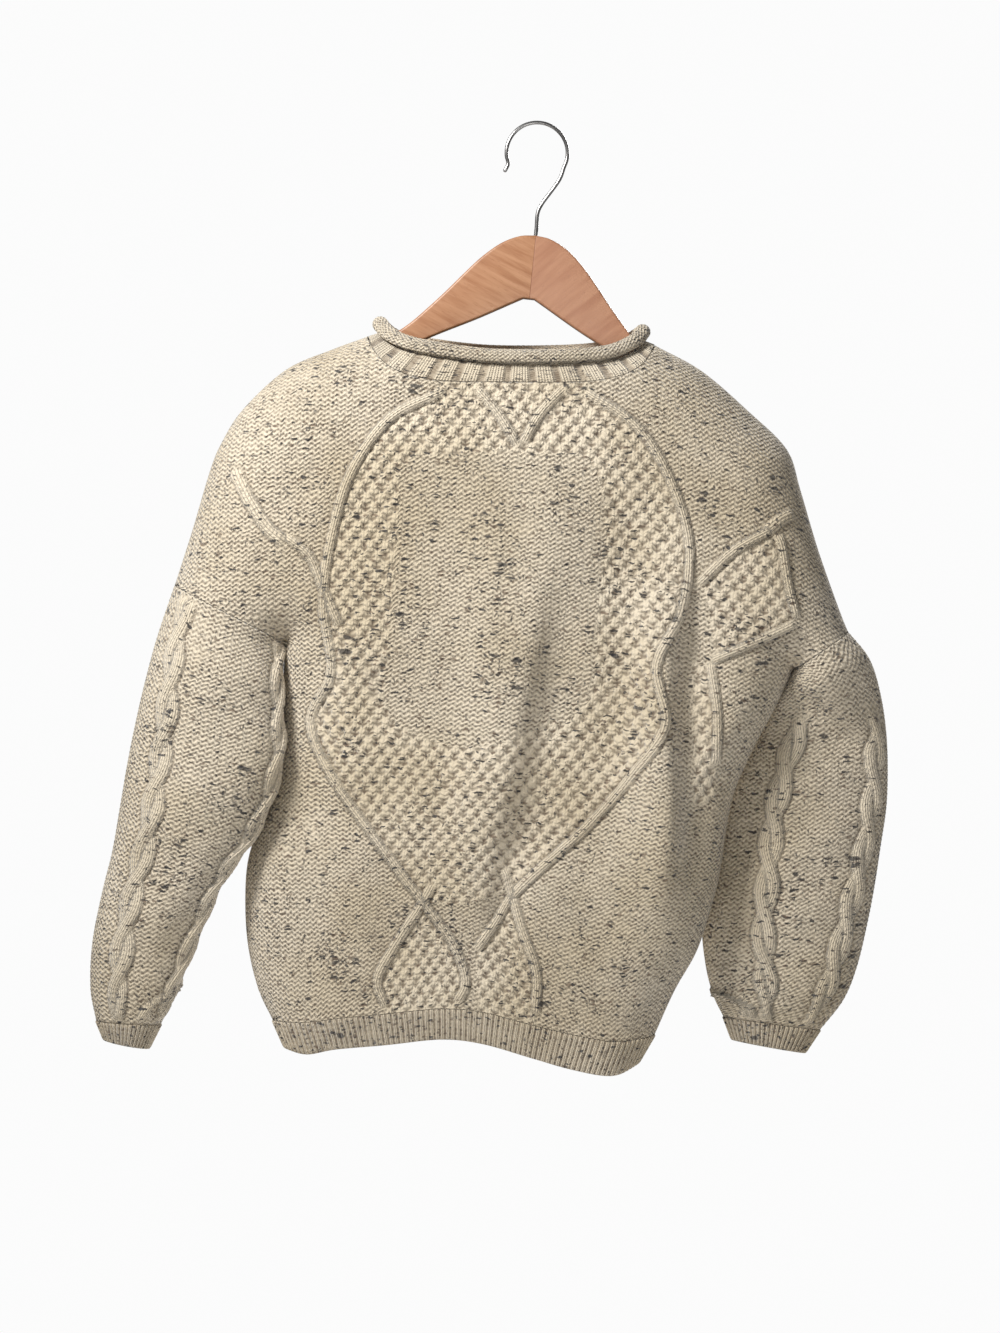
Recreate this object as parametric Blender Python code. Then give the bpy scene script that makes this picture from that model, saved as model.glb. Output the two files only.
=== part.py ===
"""A hand-knitted wool sweater hanging on a wooden hanger, in construction solids.

The origin is the inner top of the hook, where a rail carries it. X runs across
the garment, Z is up, and the panel that faces -Y is the front panel. Sizes are
in millimetres and become metres when a mesh is made.
"""

import math
from collections import namedtuple

import bmesh
import bpy
import numpy as np
from mathutils.geometry import delaunay_2d_cdt

MM = 0.001
WALL = 3.6
SEAM_GAP = 0.3
HALF_GAP = SEAM_GAP / 2

# Rounding of the cloth from its flat middle to its side and shoulder seams
SEAM_REACH = 62.0

# Travelling ribs and rope cables, raised on the outside of the knitting
RIB_WIDTH = 10.0
RIB_HEIGHT = 3.8
ROPE_PITCH = 43.0
ROPE_STEP = ROPE_PITCH / 4
ROPE_WIDTH = 23.0
ROPE_HEIGHT = 5.0

HEM_RIBS = 79
CUFF_RIBS = 46
NECK_RIBS = 28
FINE_RIB_HEIGHT = 1.3
NECK_RIB_HEIGHT = 1.8

ROLL_RADIUS = 7.0
ROLL_WALL = 3.2

HANGER_TILT = math.radians(6.0)
HANGER_THICK = 13.0
HUMP_TOP = (-1.4, -100.4)
WIRE = 3.4
HOOK_RADIUS = 27.5
SHANK_DEPTH = 14.0

# Half the thickness of the hanging body, by height
Depth = namedtuple("Depth", "z half")
BODY_DEPTHS = (
    Depth(-860, 37), Depth(-800, 40), Depth(-700, 45), Depth(-450, 50), Depth(-280, 48), Depth(-180, 44),
)

# Seams and edges of the body as x, z, each listed upwards or from left to right
SIDE_LEFT = (
    (-238, -806), (-251, -779), (-260, -743), (-263, -705), (-261, -665), (-251, -632),
    (-239, -600), (-231, -560), (-229, -515), (-227, -466),
)
SIDE_RIGHT = (
    (106, -819), (124, -779), (144, -743), (158, -700), (165, -671), (170, -635),
    (178, -599), (196, -559), (214, -525), (230, -491),
)
SHOULDER_LEFT = (
    (-326, -415), (-310, -365), (-294, -311), (-284, -287), (-265, -257), (-226, -221),
    (-185, -203), (-152, -191),
)
SHOULDER_RIGHT = (
    (280, -457), (272, -437), (253, -383), (237, -329), (225, -293), (191, -259), (148, -222), (106, -199),
)
HEM_TOP_FRONT = (
    (-238, -806), (-206, -806), (-180, -802), (-135, -798), (-86, -793), (-49, -796),
    (-4, -808), (35, -817), (70, -823), (106, -819),
)
HEM_LOW_FRONT = (
    (-227, -831), (-206, -835), (-180, -830), (-135, -826), (-86, -821), (-49, -825),
    (-4, -838), (31, -848), (67, -854), (91, -845),
)
HEM_TOP_BACK = (
    (-238, -806), (-200, -802), (-150, -800), (-60, -797), (20, -805), (70, -814), (106, -819),
)
HEM_LOW_BACK = (
    (-227, -831), (-200, -831), (-150, -829), (-60, -826), (20, -834), (60, -841), (91, -845),
)
NECK_FRONT = (
    (-152, -191), (-145, -207), (-131, -221), (-110, -230), (-80, -234), (-23, -235),
    (35, -235), (62, -232), (82, -226), (97, -215), (106, -199),
)
NECK_BACK = (
    (-152, -191), (-145, -204), (-131, -215), (-110, -222), (-80, -226), (-23, -227),
    (35, -227), (62, -225), (82, -220), (97, -211), (106, -199),
)
ROLL_FRONT = (
    (-141, -180), (-133, -190), (-119, -198), (-96, -204), (-51, -211), (-6, -212.5),
    (39, -211), (66, -207), (82, -200), (90, -194), (95, -187),
)
ROLL_BACK = (
    (-141, -180), (-133, -187), (-119, -193), (-96, -197), (-51, -202), (-6, -203),
    (39, -202), (66, -199), (82, -194), (90, -190), (95, -187),
)
NECK_HALF_DEPTH = 43.0

# Folds of the cloth: a ridge is raised along its path, a step is raised on the
# left of it and drops away on the right. Heights are outwards, and paths run down.
Fold = namedtuple("Fold", "panel kind height edge reach path")
FOLDS = (
    Fold("front", "step", 6.5, 7, 46,
         ((146, -380), (135, -416), (127, -453), (124, -496), (125, -578), (129, -640), (131, -720))),
    Fold("front", "ridge", 5, 0, 42, ((15, -290), (2, -430), (-11, -518), (-33, -660))),
    Fold("front", "ridge", -7, 0, 46, ((58, -470), (42, -560), (10, -690))),
    Fold("front", "ridge", -8, 0, 26, ((-205, -430), (-203, -520), (-212, -610), (-222, -670))),
    Fold("front", "ridge", 4, 0, 40, ((-150, -600), (-170, -700), (-168, -790))),
    Fold("back", "ridge", -6, 0, 48, ((60, -330), (52, -480), (70, -640))),
    Fold("back", "ridge", 5, 0, 44, ((-60, -420), (-80, -560), (-110, -720))),
    Fold("back", "ridge", -5, 0, 36, ((-190, -440), (-180, -560), (-205, -690))),
)

# Travelling ribs of the panels: seen from the front, and again on the back
Rib = namedtuple("Rib", "name width path")
RIBS = (
    Rib("medallion_right", RIB_WIDTH, ((42, -243), (88, -274), (119, -324), (135, -381), (128, -438),
                                       (106, -487), (113, -540), (86, -583), (44, -631), (-16, -686))),
    Rib("medallion_left", RIB_WIDTH, ((-84, -243), (-131, -267), (-165, -314), (-182, -368), (-191, -430),
                                      (-184, -493), (-203, -537), (-184, -585), (-143, -644), (-102, -698))),
    Rib("left_loop_inner", RIB_WIDTH, ((-98, -704), (-76, -734), (-64, -768), (-72, -785))),
    Rib("left_loop_outer", RIB_WIDTH, ((-107, -706), (-129, -740), (-143, -768), (-135, -790))),
    Rib("right_loop_outer", RIB_WIDTH, ((-22, -694), (-14, -722), (-1, -761), (-2, -798))),
    Rib("right_loop_inner", RIB_WIDTH, ((-25, -692), (-38, -717), (-55, -740))),
    Rib("neck_vee_left", RIB_WIDTH, ((-50, -244), (-25, -276))),
    Rib("neck_vee_right", RIB_WIDTH, ((22, -244), (-10, -276))),
    Rib("side_arc_left", RIB_WIDTH, ((-217, -376), (-203, -390), (-191, -418), (-178, -448))),
    Rib("diamond_top", RIB_WIDTH, ((146, -412), (175, -385), (203, -370))),
    Rib("diamond_rope", RIB_WIDTH + 3, ((209, -366), (228, -353))),
    Rib("diamond_right", RIB_WIDTH, ((218, -384), (223, -416), (230, -440))),
    Rib("diamond_low", RIB_WIDTH, ((224, -453), (196, -465), (158, -481))),
    Rib("diamond_tail", RIB_WIDTH, ((155, -492), (160, -531), (159, -572))),
    Rib("shoulder_rope_left", RIB_WIDTH + 4, ((-270, -312), (-256, -341), (-241, -364), (-224, -378))),
)

# Sleeve sections from the armhole to the cuff: the outer fold's x and z, the
# inner fold's x and z, the middle's y and half the thickness.
Section = namedtuple("Section", "outer_x outer_z inner_x inner_z mid_y half")
SLEEVE_LEFT = (
    Section(-326, -415, -227, -466, 0, 46),
    Section(-338, -452, -227.9, -489, -14, 44),
    Section(-349, -493, -227, -529, -18, 42),
    Section(-358, -532, -226, -565, -22, 40),
    Section(-366, -572, -235, -604, -24, 40),
    Section(-373, -613, -254, -643, -24, 40),
    Section(-380, -653, -274, -670, -23, 39),
    Section(-389, -689, -289, -698, -22, 38),
    Section(-398, -734, -306, -739, -20, 36),
    Section(-400, -775, -323, -779, -19, 32),
    Section(-395, -805, -337, -808, -18, 27),
)
CUFF_LEFT = Section(-388, -822, -348, -830, -18, 22)
SLEEVE_RIGHT = (
    Section(280, -457, 230, -491, 0, 34),
    Section(299, -481, 224.4, -504, 5, 36),
    Section(310, -512, 214, -524, 15, 35),
    Section(316, -545, 201.5, -547, 24, 33),
    Section(318, -580, 184.5, -577, 28, 31),
    Section(317, -615, 171, -611, 30, 30),
    Section(312, -650, 163.5, -648, 31, 30),
    Section(306, -689, 156.5, -686, 31, 29),
    Section(299, -725, 150, -722, 31, 28),
    Section(290, -761, 153, -758, 30, 26),
    Section(278, -790, 160, -786, 29, 23),
    Section(257, -817, 169, -805, 28, 18),
)
CUFF_RIGHT = Section(243, -838, 177, -826, 28, 15)
SLEEVE_CREASE = Fold("right", "step", 6.0, 6, 34, ((226, -492), (242, -512), (266, -530), (294, -555), (318, -578)))

# Cables down a sleeve: degrees round the section from the outer fold, over the
# front, at the armhole, half way and at the cuff
Cable = namedtuple("Cable", "top middle low")
CABLES_LEFT = (Cable(46, 60, 74), Cable(158, 160, 150), Cable(226, 224, 222), Cable(306, 302, 296))
CABLES_RIGHT = (Cable(34, 38, 52), Cable(118, 112, 100), Cable(232, 236, 240), Cable(310, 306, 300))

# The hanger's half outline in its own frame, out from the middle, below the hump's top
HANGER_TOP = (
    (0, 0), (14, -2), (30, -10), (46, -24), (60, -40), (74, -57), (88, -73), (104, -90),
    (120, -103), (137.5, -113.5), (170, -129.5), (196, -142), (204, -148),
)
HANGER_LOW = (
    (205, -157), (196, -163), (170, -155), (137.5, -136), (91, -104.5), (45, -80), (14, -62.5), (5, -57.5),
)


def clear_scene():
    """Remove every object and mesh that the file opened with."""
    for obj in list(bpy.data.objects):
        bpy.data.objects.remove(obj, do_unlink=True)


def spline(points, step=4.0):
    """Points of a smooth curve through these, about this far apart."""
    knots = np.array(points, float)
    before = 2 * knots[0] - knots[1]
    after = 2 * knots[-1] - knots[-2]
    padded = np.vstack([before, knots, after])
    line = []
    for index in range(len(knots) - 1):
        p0, p1, p2, p3 = padded[index:index + 4]
        pieces = max(2, math.ceil(np.linalg.norm(p2 - p1) / step))
        for t in np.arange(pieces) / pieces:
            line.append(0.5 * (2 * p1 + (p2 - p0) * t + (2 * p0 - 5 * p1 + 4 * p2 - p3) * t**2
                               + (3 * p1 - p0 - 3 * p2 + p3) * t**3))
    line.append(knots[-1])
    return np.array(line)


def lengths_along(line):
    """Distance along a line of points, from its start."""
    return np.concatenate([[0], np.cumsum(np.linalg.norm(np.diff(line, axis=0), axis=1))])


def at_fractions(line, fractions):
    """The points at these fractions of a line's length."""
    run = lengths_along(line)
    wanted = np.asarray(fractions) * run[-1]
    return np.stack([np.interp(wanted, run, line[:, axis]) for axis in range(line.shape[1])], axis=-1)


def evenly(line, step):
    """A line's points again, spaced evenly at about this step."""
    count = max(2, round(lengths_along(line)[-1] / step) + 1)
    return at_fractions(line, np.linspace(0, 1, count))


def nearest(points, line):
    """Distance to a line, its sign (positive on the right of travel) and the share of the way along it."""
    points = np.atleast_2d(points)
    start, end = line[:-1], line[1:]
    along = end - start
    size = (along**2).sum(axis=1)
    offset = points[:, None, :] - start[None]
    share = np.clip((offset * along).sum(axis=2) / size, 0, 1)
    gap = offset - share[..., None] * along
    distance = np.linalg.norm(gap, axis=2)
    best = distance.argmin(axis=1)
    rows = np.arange(len(points))
    cross = along[best, 0] * offset[rows, best, 1] - along[best, 1] * offset[rows, best, 0]
    run = lengths_along(line)
    place = (run[best] + share[rows, best] * np.sqrt(size[best])) / run[-1]
    return distance[rows, best], np.where(cross > 0, -1.0, 1.0), place


def inside(points, outline):
    """Which points lie inside a closed outline."""
    x, z = points[:, 0, None], points[:, 1, None]
    x1, z1 = outline[:, 0], outline[:, 1]
    x2, z2 = np.roll(x1, -1), np.roll(z1, -1)
    crosses = (z1 > z) != (z2 > z)
    rise = np.where(z2 == z1, 1e-9, z2 - z1)
    return (crosses & (x < (x2 - x1) * (z - z1) / rise + x1)).sum(axis=1) % 2 == 1


def smooth_step(value):
    """0 to 1 with soft ends."""
    value = np.clip(value, 0, 1)
    return value * value * (3 - 2 * value)


def rounding(distance, reach=SEAM_REACH):
    """A quarter round: 0 at a seam and 1 past its reach."""
    share = np.clip(distance / reach, 0, 1)
    return np.sqrt(1 - (1 - share)**2)


def fold_height(fold, line, points):
    """How far a fold moves the cloth outwards at these points."""
    distance, sign, place = nearest(points, line)
    ends = smooth_step(place / 0.22) * smooth_step((1 - place) / 0.3)
    spread = np.exp(-(distance / fold.reach)**2)
    if fold.kind == "ridge":
        return fold.height * spread * ends
    return -fold.height * np.tanh(sign * distance / fold.edge) * spread * ends


class Panel:
    """The front or the back of the body: an outline, and a depth at each point of it."""

    def __init__(self, side):
        self.side = side
        self.facing = -1.0 if side == "front" else 1.0
        self.seams = [spline(line) for line in (SIDE_LEFT, SIDE_RIGHT, SHOULDER_LEFT, SHOULDER_RIGHT)]
        hem = spline(HEM_TOP_FRONT if side == "front" else HEM_TOP_BACK)
        self.hem = at_fractions(hem, half_round_shares(22))
        self.neck = spline(NECK_FRONT if side == "front" else NECK_BACK, 2.0)
        self.folds = [(fold, spline(fold.path[::-1])) for fold in FOLDS if fold.panel == side]
        self.ribs = [(rib, spline(rib.path)) for rib in RIBS]

    def middle(self, points):
        """Where the side seams lie in Y: the body passes behind one sleeve and before the other."""
        x, z = points[:, 0], points[:, 1]
        lean = smooth_step((-466 - z) / 70) * smooth_step((z + 830) / 90)
        share = np.clip((x + 230) / 460, 0, 1)
        return lean * (8 * (1 - share) - 6 * share)

    def depth(self, points):
        """Y of the outer face, without its raised ribs."""
        points = np.atleast_2d(points)
        heights = [row.z for row in BODY_DEPTHS]
        half = np.interp(points[:, 1], heights, [row.half for row in BODY_DEPTHS])
        round_off = np.ones(len(points))
        for seam in self.seams:
            round_off *= rounding(nearest(points, seam)[0])
        bulge = half * round_off
        for fold, line in self.folds:
            bulge = bulge + fold_height(fold, line, points) * round_off**2
        return self.middle(points) + self.facing * (HALF_GAP + bulge)

    def normal(self, points):
        """Outward directions of the outer face, from its slopes."""
        step = 0.4
        slopes = []
        for axis in (0, 1):
            shift = np.zeros(2)
            shift[axis] = step
            slopes.append((self.depth(points + shift) - self.depth(points - shift)) / (2 * step))
        normal = np.stack([-slopes[0], np.ones(len(points)), -slopes[1]], axis=1) * self.facing
        return normal / np.linalg.norm(normal, axis=1)[:, None]

    def seam_normal(self, points, normal):
        """The same directions laid square to the seam, for points that lie on a seam."""
        centre = np.array([-40.0, -520.0])
        for seam in self.seams:
            distance, _, place = nearest(points, seam)
            on_seam = distance < 0.2
            if not on_seam.any():
                continue
            ahead = at_fractions(seam, np.clip(place + 0.01, 0, 1)) - at_fractions(seam, np.clip(place - 0.01, 0, 1))
            square = np.stack([ahead[:, 1], -ahead[:, 0]], axis=1)
            square /= np.linalg.norm(square, axis=1)[:, None]
            away = np.sign((square * (points - centre)).sum(axis=1))
            square *= away[:, None]
            flat = np.stack([square[:, 0], np.zeros(len(points)), square[:, 1]], axis=1)
            normal = np.where(on_seam[:, None], flat, normal)
        return normal

    def rib_height(self, points):
        """How far the travelling ribs stand up at these points."""
        height = np.zeros(len(points))
        for rib, line in self.ribs:
            distance, _, place = nearest(points, line)
            run = place * lengths_along(line)[-1]
            total = lengths_along(line)[-1]
            ends = smooth_step(np.minimum(run, total - run) / 9 + 0.15)
            crest = np.clip(1 - (distance / (rib.width / 2)), 0, 1)
            height = np.maximum(height, RIB_HEIGHT * np.sqrt(crest) * ends)
        return height

    def outer(self, points):
        """3D points of the outer face."""
        flat = np.stack([points[:, 0], self.depth(points), points[:, 1]], axis=1)
        return flat + self.normal(points) * self.rib_height(points)[:, None]

    def inner(self, points, edge_across=None):
        """3D points of the inner face. At an open edge the wall keeps to the edge's own plane."""
        flat = np.stack([points[:, 0], self.depth(points), points[:, 1]], axis=1)
        normal = self.seam_normal(points, self.normal(points))
        if edge_across is not None:
            across = np.stack([edge_across[:, 0], np.zeros(len(points)), edge_across[:, 1]], axis=1)
            normal = normal - (normal * across).sum(axis=1)[:, None] * across
            normal /= np.maximum(np.linalg.norm(normal, axis=1), 1e-6)[:, None]
        moved = flat - normal * WALL
        seam_y = self.middle(np.stack([moved[:, 0], moved[:, 2]], axis=1))
        limit = seam_y + self.facing * HALF_GAP
        if self.side == "front":
            moved[:, 1] = np.minimum(moved[:, 1], limit)
        else:
            moved[:, 1] = np.maximum(moved[:, 1], limit)
        return moved


    def neck_edge(self):
        """The neck edge's points from left to right, and the directions out of the panel across it."""
        points = at_fractions(self.neck, half_round_shares(NECK_RIBS))
        ahead = np.gradient(points, axis=0)
        square = np.stack([-ahead[:, 1], ahead[:, 0]], axis=1)
        return points, square / np.linalg.norm(square, axis=1)[:, None]


def armhole_directions():
    """Unit vectors in x, z that point out of each armhole, square to its line."""
    found = {}
    for side, seam, shoulder, sign in (("left", SIDE_LEFT, SHOULDER_LEFT, 1), ("right", SIDE_RIGHT, SHOULDER_RIGHT, -1)):
        line = np.subtract(seam[-1], shoulder[0]).astype(float)
        line /= np.linalg.norm(line)
        found[side] = np.array([line[1], -line[0]]) * sign
    return found


ARMHOLE_OUT = armhole_directions()


def half_round_shares(count):
    """Shares from 0 to 1, closer together at both ends, as seen across a half round."""
    return (1 - np.cos(np.linspace(0, math.pi, count + 1))) / 2


def panel_outline(panel):
    """The outline as points in order, and for each the direction across its open edge, or zero on a seam."""
    points, across = [], []

    def add(line, direction=(0.0, 0.0)):
        for point in line:
            points.append(point)
            across.append(direction)

    left, right, shoulder_left, shoulder_right = panel.seams
    add(panel.hem, (0.0, 1.0))
    add(evenly(right, 26)[1:-1])
    armhole = half_round_shares(7)[:, None]
    add(right[-1] + (shoulder_right[0] - right[-1]) * armhole, ARMHOLE_OUT["right"])
    add(evenly(shoulder_right, 22)[1:-1])
    neck, square = panel.neck_edge()
    for point, direction in zip(neck[::-1], square[::-1]):
        add([point], tuple(direction))
    add(evenly(shoulder_left, 22)[::-1][1:-1])
    add(shoulder_left[0] + (left[-1] - shoulder_left[0]) * armhole, ARMHOLE_OUT["left"])
    add(evenly(left, 26)[::-1][1:-1])
    return np.array(points, float), np.array(across, float)


def thinned(points, kept, spacing):
    """Those points that stay this far from the kept ones and from each other."""
    chosen = []
    taken = [np.asarray(point) for point in kept]
    for point in points:
        if min(np.linalg.norm(np.array(taken) - point, axis=1)) >= spacing:
            chosen.append(point)
            taken.append(point)
    return chosen


def base_points(panel, outline):
    """Points of the panel that both its faces share: rows along the seams, the folds and a plain net."""
    seam_rows = []
    for seam in panel.seams:
        line = evenly(seam, 30)
        ahead = np.gradient(line, axis=0)
        square = np.stack([ahead[:, 1], -ahead[:, 0]], axis=1)
        square /= np.linalg.norm(square, axis=1)[:, None]
        for offset in (3.0, 13.0, 32.0):
            for sign in (-1, 1):
                row = line + square * offset * sign
                seam_rows += [point for point in row]
    seam_rows = np.array(seam_rows)
    clear = np.min([nearest(seam_rows, seam)[0] for seam in panel.seams], axis=0)
    closed = np.vstack([outline, outline[:1]])
    edge = nearest(seam_rows, closed)[0]
    keep = inside(seam_rows, outline) & (edge > 2.4) & (clear > 2.4)
    rows = [point for point in seam_rows[keep]]
    fold_rows = []
    for fold, line in panel.folds:
        if fold.kind != "step":
            continue
        path = evenly(line, 26)
        ahead = np.gradient(path, axis=0)
        square = np.stack([ahead[:, 1], -ahead[:, 0]], axis=1)
        square /= np.linalg.norm(square, axis=1)[:, None]
        for offset in (-22, -7, 0, 7, 22):
            fold_rows += [point for point in path + square * offset]
    low, high = outline.min(axis=0), outline.max(axis=0)
    pitch = 37.0
    net = []
    for row, z in enumerate(np.arange(low[1], high[1], pitch * 0.87)):
        for x in np.arange(low[0] + (row % 2) * pitch / 2, high[0], pitch):
            net.append((x, z))
    net = np.array(net)
    net = net[inside(net, outline) & (nearest(net, closed)[0] > 20)]
    chosen = thinned(rows, [(1e6, 1e6)], 8)
    chosen += thinned(fold_rows, chosen, 6)
    chosen += thinned(net, chosen, 20)
    return np.array(chosen)


def rib_lines(panel, outline):
    """The foot and crest lines of the travelling ribs, kept clear of the panel's edges."""
    closed = np.vstack([outline, outline[:1]])
    lines = []
    for rib, path in panel.ribs:
        line = evenly(path, 15)
        ahead = np.gradient(line, axis=0)
        square = np.stack([ahead[:, 1], -ahead[:, 0]], axis=1)
        square /= np.linalg.norm(square, axis=1)[:, None]
        for offset in (-rib.width / 2, 0.0, rib.width / 2):
            row = line + square * offset
            good = inside(row, outline) & (nearest(row, closed)[0] > 2.5)
            lines.append(row[good])
    return lines


def triangulate(outline, loose, lines):
    """Triangles over an outline, through loose points and along lines. The outline's points come first."""
    points = [tuple(point) for point in outline]
    edges = [(index, (index + 1) % len(outline)) for index in range(len(outline))]
    for line in lines:
        start = len(points)
        points += [tuple(point) for point in line]
        edges += [(start + index, start + index + 1) for index in range(len(line) - 1)]
    points += [tuple(point) for point in loose]
    found, _, faces, origins, _, _ = delaunay_2d_cdt(points, edges, [], 0, 0.05, True)
    found = np.array([tuple(point) for point in found])
    faces = [tuple(face) for face in faces if len(face) == 3]
    middles = found[np.array(faces)].mean(axis=1)
    kept = inside(middles, outline)
    faces = [face for face, keep in zip(faces, kept) if keep]
    new_place = {}
    for new, old in enumerate(origins):
        for index in old:
            if index < len(outline):
                new_place[index] = new
    order = [new_place[index] for index in range(len(outline))]
    return found, faces, order


def facing_up(points, faces):
    """The same triangles, all counter-clockwise in x, z."""
    turned = []
    for a, b, c in faces:
        area = np.cross(points[b] - points[a], points[c] - points[a])
        turned.append((a, b, c) if area > 0 else (a, c, b))
    return turned


def add_material(obj, colour, roughness, metallic=0.0):
    """A plain surface finish."""
    material = bpy.data.materials.new(obj.name)
    material.use_nodes = True
    shader = material.node_tree.nodes["Principled BSDF"]
    shader.inputs["Base Color"].default_value = (*colour, 1.0)
    shader.inputs["Roughness"].default_value = roughness
    shader.inputs["Metallic"].default_value = metallic
    obj.data.materials.append(material)


def make_object(name, points, faces, colour, roughness, metallic=0.0):
    """One closed solid from points in millimetres."""
    mesh = bpy.data.meshes.new(name)
    mesh.from_pydata([tuple(point) for point in np.asarray(points) * MM], [], faces)
    work = bmesh.new()
    work.from_mesh(mesh)
    if work.calc_volume(signed=True) < 0:
        bmesh.ops.reverse_faces(work, faces=work.faces)
    work.to_mesh(mesh)
    work.free()
    mesh.shade_smooth()
    mesh.set_sharp_from_angle(angle=math.radians(40))
    obj = bpy.data.objects.new(name, mesh)
    bpy.context.scene.collection.objects.link(obj)
    add_material(obj, colour, roughness, metallic)
    return obj


WOOL = (0.52, 0.44, 0.33)
BEECH = (0.55, 0.30, 0.15)
STEEL = (0.70, 0.70, 0.70)


def build_panel(panel):
    """A body panel: the patterned outer face, the plain inner face and the wall's edge between them."""
    outline, across = panel_outline(panel)
    shared = base_points(panel, outline)
    distance_to_ribs = np.min([nearest(shared, line)[0] for _, line in panel.ribs], axis=0)
    loose = shared[distance_to_ribs > RIB_WIDTH / 2 + 4]
    outer_flat, outer_faces, outer_order = triangulate(outline, loose, rib_lines(panel, outline))
    inner_flat, inner_faces, inner_order = triangulate(outline, shared, [])
    outer_faces = facing_up(outer_flat, outer_faces)
    inner_faces = facing_up(inner_flat, inner_faces)
    outer = panel.outer(outer_flat)
    inner = panel.inner(inner_flat)
    edge_inner = panel.inner(outline, across)
    inner[inner_order] = edge_inner
    count = len(outer)
    front = panel.side == "front"
    faces = []
    for a, b, c in outer_faces:
        faces.append((a, b, c) if front else (a, c, b))
    for a, b, c in inner_faces:
        faces.append((a + count, c + count, b + count) if front else (a + count, b + count, c + count))
    for index in range(len(outline)):
        ahead = (index + 1) % len(outline)
        o1, o2 = outer_order[index], outer_order[ahead]
        i1, i2 = inner_order[index] + count, inner_order[ahead] + count
        faces.append((o2, o1, i1, i2) if front else (o1, o2, i2, i1))
    return make_object(f"{panel.side}_panel", np.vstack([outer, inner]), faces, WOOL, 0.95)


def ring_solid(name, outer_rows, inner_rows, closed, colour=WOOL, roughness=0.95):
    """A wall from rows of outer and inner points. The two faces may have different counts round.

    A row runs the same way round in both. An open wall gets its two side edges closed.
    """
    outer_rows = [np.asarray(row) for row in outer_rows]
    inner_rows = [np.asarray(row) for row in inner_rows]
    points, faces = [], []
    outer_at, inner_at = [], []
    for rows, places in ((outer_rows, outer_at), (inner_rows, inner_at)):
        for row in rows:
            places.append(list(range(len(points), len(points) + len(row))))
            points += [tuple(point) for point in row]

    def skin(places, flip):
        for low, high in zip(places[:-1], places[1:]):
            for index in range(len(low) if closed else len(low) - 1):
                ahead = (index + 1) % len(low)
                quad = (low[index], low[ahead], high[ahead], high[index])
                faces.append(quad[::-1] if flip else quad)

    def strip(first, second, flip):
        """Triangles between two loops of different counts, zipped by their share of the way."""
        total_first = len(first) if closed else len(first) - 1
        total_second = len(second) if closed else len(second) - 1
        i = j = 0
        while i < total_first or j < total_second:
            step_first = (i + 1) / total_first if i < total_first else 9
            step_second = (j + 1) / total_second if j < total_second else 9
            a, b = first[i % len(first)], second[j % len(second)]
            if step_first <= step_second:
                face = (a, first[(i + 1) % len(first)], b)
                i += 1
            else:
                face = (a, second[(j + 1) % len(second)], b)
                j += 1
            faces.append(face[::-1] if flip else face)

    skin(outer_at, False)
    skin(inner_at, True)
    strip(outer_at[0], inner_at[0], True)
    strip(outer_at[-1], inner_at[-1], False)
    if not closed:
        for end, flip in ((0, False), (-1, True)):
            first = [row[end] for row in outer_at]
            second = [row[end] for row in inner_at]
            closed_strip(faces, first, second, flip)
    return make_object(name, points, faces, colour, roughness)


def closed_strip(faces, first, second, flip):
    """Triangles between the side edges of a wall's two faces."""
    i = j = 0
    while i < len(first) - 1 or j < len(second) - 1:
        step_first = (i + 1) / (len(first) - 1) if i < len(first) - 1 else 9
        step_second = (j + 1) / (len(second) - 1) if j < len(second) - 1 else 9
        if step_first <= step_second:
            face = (first[i], first[i + 1], second[j])
            i += 1
        else:
            face = (first[i], second[j + 1], second[j])
            j += 1
        faces.append(face[::-1] if flip else face)


def build_hem(panel):
    """The ribbed band under a panel, drawn in a little, with a rib at each knit column."""
    low = spline(HEM_LOW_FRONT if panel.side == "front" else HEM_LOW_BACK)

    def base(share, down):
        across = np.asarray(share)
        top = at_fractions(panel.hem, across)
        bottom = at_fractions(low, across)
        y = panel.depth(top)
        seam = panel.facing * HALF_GAP
        flat = top + (bottom - top) * down
        flat[:, 1] = flat[:, 1] - SEAM_GAP * (1 - down)
        drawn = seam + (y - seam) * (1 - 0.12 * down)
        return np.stack([flat[:, 0], drawn, flat[:, 1]], axis=1)

    def outward(share, down):
        step = 0.004
        ahead = base(np.clip(share + step, 0, 1), down) - base(np.clip(share - step, 0, 1), down)
        normal = np.stack([ahead[:, 1], -ahead[:, 0], np.zeros(len(ahead))], axis=1) * -panel.facing
        normal /= np.linalg.norm(normal, axis=1)[:, None]
        normal[share <= 0] = (-1, 0, 0)
        normal[share >= 1] = (1, 0, 0)
        return normal

    def even_shares(count):
        """Shares of the top line that lie evenly along it in 3D."""
        fine = np.linspace(0, 1, 600)
        run = lengths_along(base(fine, 0.0))
        return np.interp(np.linspace(0, run[-1], count + 1), run, fine)

    ribs = even_shares(2 * HEM_RIBS)
    crest = np.where(np.arange(len(ribs)) % 2 == 1, FINE_RIB_HEIGHT, 0.0)
    plain = even_shares(26)
    outer_rows, inner_rows = [], []
    for down in (1.0, 0.0):
        outer_rows.append(base(ribs, down) + outward(ribs, down) * crest[:, None])
        wall = base(plain, down) - outward(plain, down) * (WALL - 0.4)
        limit = panel.facing * HALF_GAP
        wall[:, 1] = np.minimum(wall[:, 1], limit) if panel.side == "front" else np.maximum(wall[:, 1], limit)
        inner_rows.append(wall)
    if panel.side == "back":
        outer_rows = [row[::-1] for row in outer_rows]
        inner_rows = [row[::-1] for row in inner_rows]
    return ring_solid(f"hem_rib_{panel.side}", outer_rows, inner_rows, closed=False)


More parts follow.
